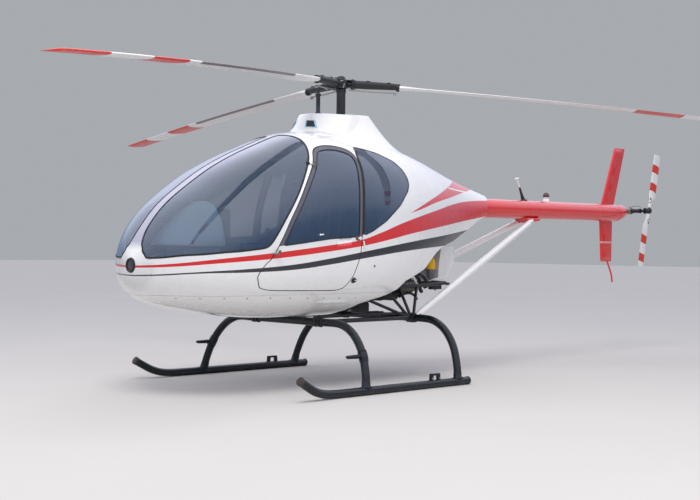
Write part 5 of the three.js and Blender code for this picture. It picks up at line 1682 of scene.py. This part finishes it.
PEDAL_SIDE = softened([[-1.640, 0.765], [-1.630, 0.760], [-1.575, 0.865], [-1.587, 0.870]], 0.004, 0.002)
pedals = []
for x in (-0.34, -0.19, 0.19, 0.34):
    pedals += [straight([x, -1.520, 0.640], [x, -1.600, 0.800], 0.008, 12),
               prism(PEDAL_SIDE, x - 0.045, x + 0.045, "x", 0.002).painted(1),
               straight([x, -1.520, 0.6205], [x, -1.520, 0.645], 0.014, 12)]
make("rudder_pedals", pedals, [FRAME_BLACK, SEAL], slot="frame_black")
lever_line = curve_through([[0.030, -0.300, 0.905], [0.026, -0.480, 0.925], [0.022, -0.640, 0.985]], 30)
lever_end = lever_line[-1]
lever_hand = straight(lever_end - (lever_end - lever_line[-6]) * 0.9, lever_end, 0.0165, 20).painted(1)
make("collective_lever", [tube(lever_line, 0.011, 16, across=X), lever_hand], [FRAME_BLACK, SEAL],
     slot="frame_black")

# Engine bay

OLIVE = varied("olive grey heat metal", (0.20, 0.19, 0.155), 0.55, 25.0, (0.4, 0.6), (300.0, 0.3, 0.001),
               Metallic=0.6)
EXHAUST = varied("sooty exhaust steel", (0.045, 0.036, 0.032), 0.5, 16.0, (0.55, 0.75), (250.0, 0.3, 0.001),
                 Metallic=0.4)
ENGINE_GREY = varied("engine casting", (0.22, 0.225, 0.23), 0.6, 18.0, (0.5, 0.65), (380.0, 0.4, 0.0012),
                     Metallic=0.5)
fins = [(0.066 if k % 2 else 0.052, 0.090 + 0.0062 * k) for k in range(24)]
engine = [rounded_box((-0.088, 0.088), (0.235, 0.785), (0.795, 1.005), 0.030, 0.010, "y"),
          rounded_box((-0.120, 0.120), (0.270, 0.740), (0.735, 0.798), 0.020, 0.010, "y"),
          rounded_box((-0.110, 0.110), (0.330, 0.690), (1.000, 1.062), 0.030, 0.012, "z"),
          lathe([(0.090, 0.200), (0.096, 0.206), (0.096, 0.222), (0.060, 0.228), (0.060, 0.245)],
                [0, 0, 0.90], Y, 40).painted(1)]
for sign in (-1, 1):
    for y in (0.365, 0.600):
        centre = [0, y - sign * 0.015, 0.900]
        engine += [lathe([(0, 0.085)] + fins + [(0, fins[-1][1])], centre, (sign, 0, 0), 28),
                   rounded_box((sign * 0.247 - 0.014, sign * 0.247 + 0.014),
                               (centre[1] - 0.055, centre[1] + 0.055), (0.850, 0.950), 0.016, 0.006,
                               "x").painted(1),
                   hose([[sign * 0.20, centre[1], 0.845], [sign * 0.205, centre[1], 0.800],
                         [sign * 0.180, centre[1] - 0.02, 0.760], [sign * 0.150, centre[1] - 0.03, 0.715]],
                        24, 0.019, 18, Y).painted(2),
                   hose([[sign * 0.19, centre[1] + 0.03, 0.955], [sign * 0.185, centre[1] + 0.03, 1.000],
                         [sign * 0.150, centre[1] + 0.02, 1.030], [sign * 0.105, centre[1] + 0.01, 1.032]],
                        24, 0.017, 18, Y),
                   hose([[sign * 0.243, centre[1] - 0.03, 0.955], [sign * 0.225, centre[1] - 0.03, 1.010],
                         [sign * 0.130, centre[1] - 0.04, 1.050], [sign * 0.100, centre[1] - 0.05, 1.066]],
                        30, 0.0045, 10, Y).painted(1)]
make("flat_engine", engine, [ENGINE_GREY, FRAME_BLACK, EXHAUST], slot="cast_metal",
     stands_for=["engine_block"])
exhaust = [rounded_box((-0.195, 0.195), (0.125, 0.500), (0.625, 0.708), 0.036, 0.014, "y"),
           lathe([(0.030, 0.120), (0.034, 0.126), (0.030, 0.134)], [0.12, 0, 0.665], Y, 20)]
for y in (0.18, 0.31, 0.44):
    exhaust.append(rounded_box((-0.199, 0.199), (y - 0.008, y + 0.008), (0.621, 0.712), 0.038, 0.003, "y"))
for sign in (-1, 1):
    exhaust += [hose([[sign * 0.150, 0.57, 0.715], [sign * 0.165, 0.56, 0.690], [sign * 0.165, 0.52, 0.672],
                      [sign * 0.150, 0.48, 0.668]], 24, 0.022, 18, X),
                hose([[sign * 0.198, 0.495, 0.650], [sign * 0.205, 0.560, 0.676],
                      [sign * 0.205, 0.630, 0.676], [sign * 0.200, 0.690, 0.650],
                      [sign * 0.195, 0.715, 0.625]], 36, 0.011, 14, X)]
make("exhaust_box", exhaust, [EXHAUST], slot="frame_black")
ribs = [(0.044, 0.500), (0.049, 0.504)]
for y in (0.520, 0.555, 0.590, 0.625, 0.655):
    ribs += [(0.049, y - 0.006), (0.0535, y - 0.003), (0.0535, y + 0.003), (0.049, y + 0.006)]
ribs += [(0.049, 0.670), (0.044, 0.675)]
bay = [lathe(ribs, [0.180, 0, 0.738], Y, 36),
       prism([[0.672, 0.802], [0.700, 0.797], [0.722, 0.760], [0.740, 0.712], [0.722, 0.700],
              [0.700, 0.722], [0.690, 0.755]],
             0.186, 0.196, "x", 0.002).painted(1),
       hose([[0.190, 0.690, 0.832], [0.195, 0.730, 0.800], [0.200, 0.752, 0.755], [0.198, 0.748, 0.712],
             [0.190, 0.775, 0.690], [0.160, 0.800, 0.700]], 40, 0.0155, 16).painted(2),
       hose([[0.185, 0.740, 0.838], [0.190, 0.800, 0.812], [0.188, 0.840, 0.770], [0.185, 0.850, 0.735],
             [0.150, 0.850, 0.720]], 40, 0.0125, 16).painted(2),
       hose([[0.160, 0.745, 0.850], [0.160, 0.800, 0.838], [0.155, 0.860, 0.808], [0.140, 0.905, 0.770]],
            30, 0.013, 16).painted(3),
       prism([[0.880, 0.866], [0.972, 0.866], [0.985, 0.835], [0.965, 0.778], [0.925, 0.772],
              [0.900, 0.800]], 0.082, 0.094,
             "x", 0.003).painted(3),
       hose([[0.105, 0.900, 0.742], [0.108, 0.940, 0.752], [0.108, 0.990, 0.733], [0.105, 1.030, 0.705],
             [0.100, 1.055, 0.694]], 40, 0.0085, 14).painted(4),
       rounded_box((0.072, 0.122), (0.985, 1.115), (0.700, 0.744), 0.010, 0.005).painted(2),
       straight([0.100, 0.890, 0.735], [0.100, 1.000, 0.735], 0.010, 14).painted(2)]
make("bay_fittings", bay, [OLIVE, PLAIN_WHITE, SEAL, ENGINE_GREY, CAST], slot="cast_metal")
tank_rows = [(0.040, 0.868), (0.0455, 0.876), (0.0455, 0.925), (0.043, 0.948), (0.034, 0.966),
             (0.020, 0.975), (0.017, 0.985)]
TANK = [0.088, 0.992, 0]
make("tank", [lathe(tank_rows, TANK, Z, 36),
              lathe([(0.021, 0.983), (0.021, 1.000), (0.017, 1.006)], TANK, Z, 20).painted(1),
              lathe([(0.030, 0.777), (0.036, 0.790), (0.044, 0.830), (0.0475, 0.862), (0.0475, 0.872)],
                    TANK, Z, 30).painted(2),
              collar([0.088, 0.992, 0.930], Z, 0.0468, 0.012, 36)], [YELLOW, CAST, ENGINE_GREY],
     slot="tank_yellow", stands_for=["oil_tank"])
PAN_ROWS = np.array([[0.768, 0.990, 1.110, 0.080], [0.771, 0.975, 1.150, 0.108],
                     [0.780, 0.968, 1.190, 0.124], [0.791, 0.975, 1.218, 0.130],
                     [0.797, 1.030, 1.226, 0.130], [0.803, 1.052, 1.236, 0.130],
                     [0.848, 1.055, 1.278, 0.130], [0.900, 1.060, 1.314, 0.130],
                     [0.934, 1.066, 1.330, 0.130], [1.000, 1.076, 1.334, 0.130],
                     [1.050, 1.086, 1.334, 0.129], [1.068, 1.088, 1.328, 0.124]])
pan_turn = np.linspace(-np.pi / 2, np.pi / 2, 49)
pan_reach = oval_reach(pan_turn, 2.2)
flank = np.linspace(0, 1, 9)[1:]
pan_rings = []
for z, front, rear, half in PAN_ROWS:
    bend_start = max(front + 0.02, rear - 0.130)
    bend = np.column_stack([half * np.sin(pan_turn) * pan_reach,
                            bend_start + (rear - bend_start) * np.cos(pan_turn) * pan_reach])
    flanks = [np.column_stack([np.full(8, sign * half), bend_start + (front - bend_start) * flank[::sign]])
              for sign in (1, -1)]
    pan_rings.append(np.column_stack([np.vstack([bend, *flanks]), np.full(65, z)]))
make("rear_pan", [loft(pan_rings)], [PLAIN_WHITE], slot="body_white", stands_for=["rear_cowl"], crease=40)
pod = [rounded_box((-0.006, 0.082), (0.135, 0.268), (0.524, 0.612), 0.020, 0.008, "x"),
       rounded_box((0.004, 0.018), (0.250, 0.446), (0.512, 0.530), 0.004, 0.003, "z"),
       rounded_box((0.058, 0.072), (0.250, 0.446), (0.512, 0.530), 0.004, 0.003, "z"),
       rounded_box((0.000, 0.076), (0.350, 0.372), (0.510, 0.520), 0.004, 0.002, "z")]
pod += [bolt([0.082, y, z], X, 0.006, 0.004).painted(1) for y in (0.155, 0.240) for z in (0.548, 0.588)]
make("belly_pod", pod, [FRAME_BLACK, STEEL], slot="trim_dark", stands_for=["belly_box"])
drive_rows = [(0.122, 1.480), (0.128, 1.486), (0.128, 1.498), (0.110, 1.504), (0.108, 1.590),
              (0.124, 1.596), (0.124, 1.608), (0.104, 1.620), (0.080, 1.680), (0.062, 1.735),
              (0.060, 1.768), (0.066, 1.772), (0.066, 1.780)]
make("main_gearbox", [lathe(drive_rows, [0, 0, 0], Z, 44),
                      lathe([(0.048, 0), (0.050, 0.006), (0.046, 0.014), (0.040, 0.050)], [0, 0.108, 1.545],
                            Y, 28)]
     + [bolt([0.118 * math.cos(a), 0.118 * math.sin(a), 1.498], Z, 0.006, 0.007)
        for a in np.arange(12) * math.pi / 6],
     [CAST], slot="cast_metal", stands_for=["transmission"])


# Camera, light and floor

LENS, SENSOR = 62.97, 36.0
CAMERA_PLACE = (7.0933, -6.8290, 1.0628)
camera = bpy.data.cameras.new("camera")
camera.lens, camera.sensor_width, camera.sensor_fit = LENS, SENSOR, "HORIZONTAL"
view = bpy.data.objects.new("camera", camera)
right, up, ahead = (0.69972, 0.71434, 0.01069), (-0.00976, -0.00540, 0.99994), (-0.71435, 0.69978, -0.00319)
view.matrix_world = Matrix([[right[k], up[k], -ahead[k], CAMERA_PLACE[k] + MAST[k]] for k in range(3)]
                           + [[0, 0, 0, 1]])
bpy.context.scene.collection.objects.link(view)
bpy.context.scene.camera = view

world = bpy.data.worlds.new("studio")
world.use_nodes = True
sky = world.node_tree
LOWEST = -0.2
SKY_COLOURS = [(0.0, (0.34, 0.32, 0.29)), (0.155, (0.30, 0.29, 0.26)), (0.19, (0.16, 0.20, 0.27)),
               (0.29, (0.27, 0.33, 0.45)), (0.36, (0.55, 0.60, 0.74)), (0.62, (1.02, 1.03, 1.22)),
               (1.0, (1.15, 1.18, 1.26))]
BACKDROP = (0.50, 0.52, 0.55, 1)
BASE_STRENGTH, REFLECTION_STRENGTH = 0.78, 0.42
direction = node(sky, "SeparateXYZ", {0: node(sky, "TexCoord").outputs["Generated"]}).outputs[2]
ramp = node(sky, "ValToRGB", {0: node(sky, "MapRange", {0: direction, 1: LOWEST, 2: 1.0}).outputs[0]})
for spot, colour in SKY_COLOURS:
    stops = ramp.color_ramp.elements
    stop = stops.new(spot) if 0 < spot < 1 else stops[-1 if spot else 0]
    stop.color = rgba(colour)
seen = node(sky, "Mix", {0: node(sky, "LightPath").outputs["Is Camera Ray"]}, data_type="RGBA")
sky.links.new(ramp.outputs[0], seen.inputs[6])
seen.inputs[7].default_value = BACKDROP
sky.links.new(seen.outputs[2], sky.nodes["Background"].inputs["Color"])
glossy = node(sky, "LightPath").outputs["Is Glossy Ray"]
strength = node(sky, "Math", {0: glossy, 1: REFLECTION_STRENGTH, 2: BASE_STRENGTH},
                operation="MULTIPLY_ADD")
sky.links.new(strength.outputs[0], sky.nodes["Background"].inputs["Strength"])
bpy.context.scene.world = world
bpy.context.scene.view_settings.view_transform = "Standard"


def soft_light(name, place, aim, size, power, colour):
    """Round area light aimed at a point, which doesn't show in reflections."""
    light = bpy.data.lights.new(name, "AREA")
    light.shape, light.size, light.energy, light.color = "DISK", size, power, colour
    lamp = bpy.data.objects.new(name, light)
    lamp.location = place
    lamp.rotation_mode = "QUATERNION"
    lamp.rotation_quaternion = (Vector(aim) - Vector(place)).to_track_quat("-Z", "Y")
    lamp.visible_glossy = False
    bpy.context.scene.collection.objects.link(lamp)


soft_light("key", (3.5, -5.0, 9.0), (0.7, -0.4, 1.0), 5.0, 540.0, (1.0, 0.985, 0.96))
soft_light("fill", (9.0, -2.0, 2.2), (0.7, 0.0, 1.0), 4.0, 90.0, (1.0, 0.97, 0.93))

FLOOR_REACH, FLOOR_LEVEL = 60.0, -0.001
floor_finish = Finish("pale studio floor", Specular_IOR_Level=0.2)
floor_finish.colour(floor_finish.mix(floor_finish.noise(0.6, 4.0), (0.58, 0.56, 0.53),
                                     (0.63, 0.605, 0.575)))
floor_finish.roughness(0.75, 0.85, 3.0)
floor_mesh = bpy.data.meshes.new("studio_floor")
floor_corners = [(x * FLOOR_REACH, y * FLOOR_REACH, FLOOR_LEVEL)
                 for x, y in ((-1, -1), (1, -1), (1, 1), (-1, 1))]
floor_mesh.from_pydata(floor_corners, [], [(0, 1, 2, 3)])
floor_mesh.materials.append(floor_finish.material)
studio_floor = bpy.data.objects.new("studio_floor", floor_mesh)
bpy.context.scene.collection.objects.link(studio_floor)
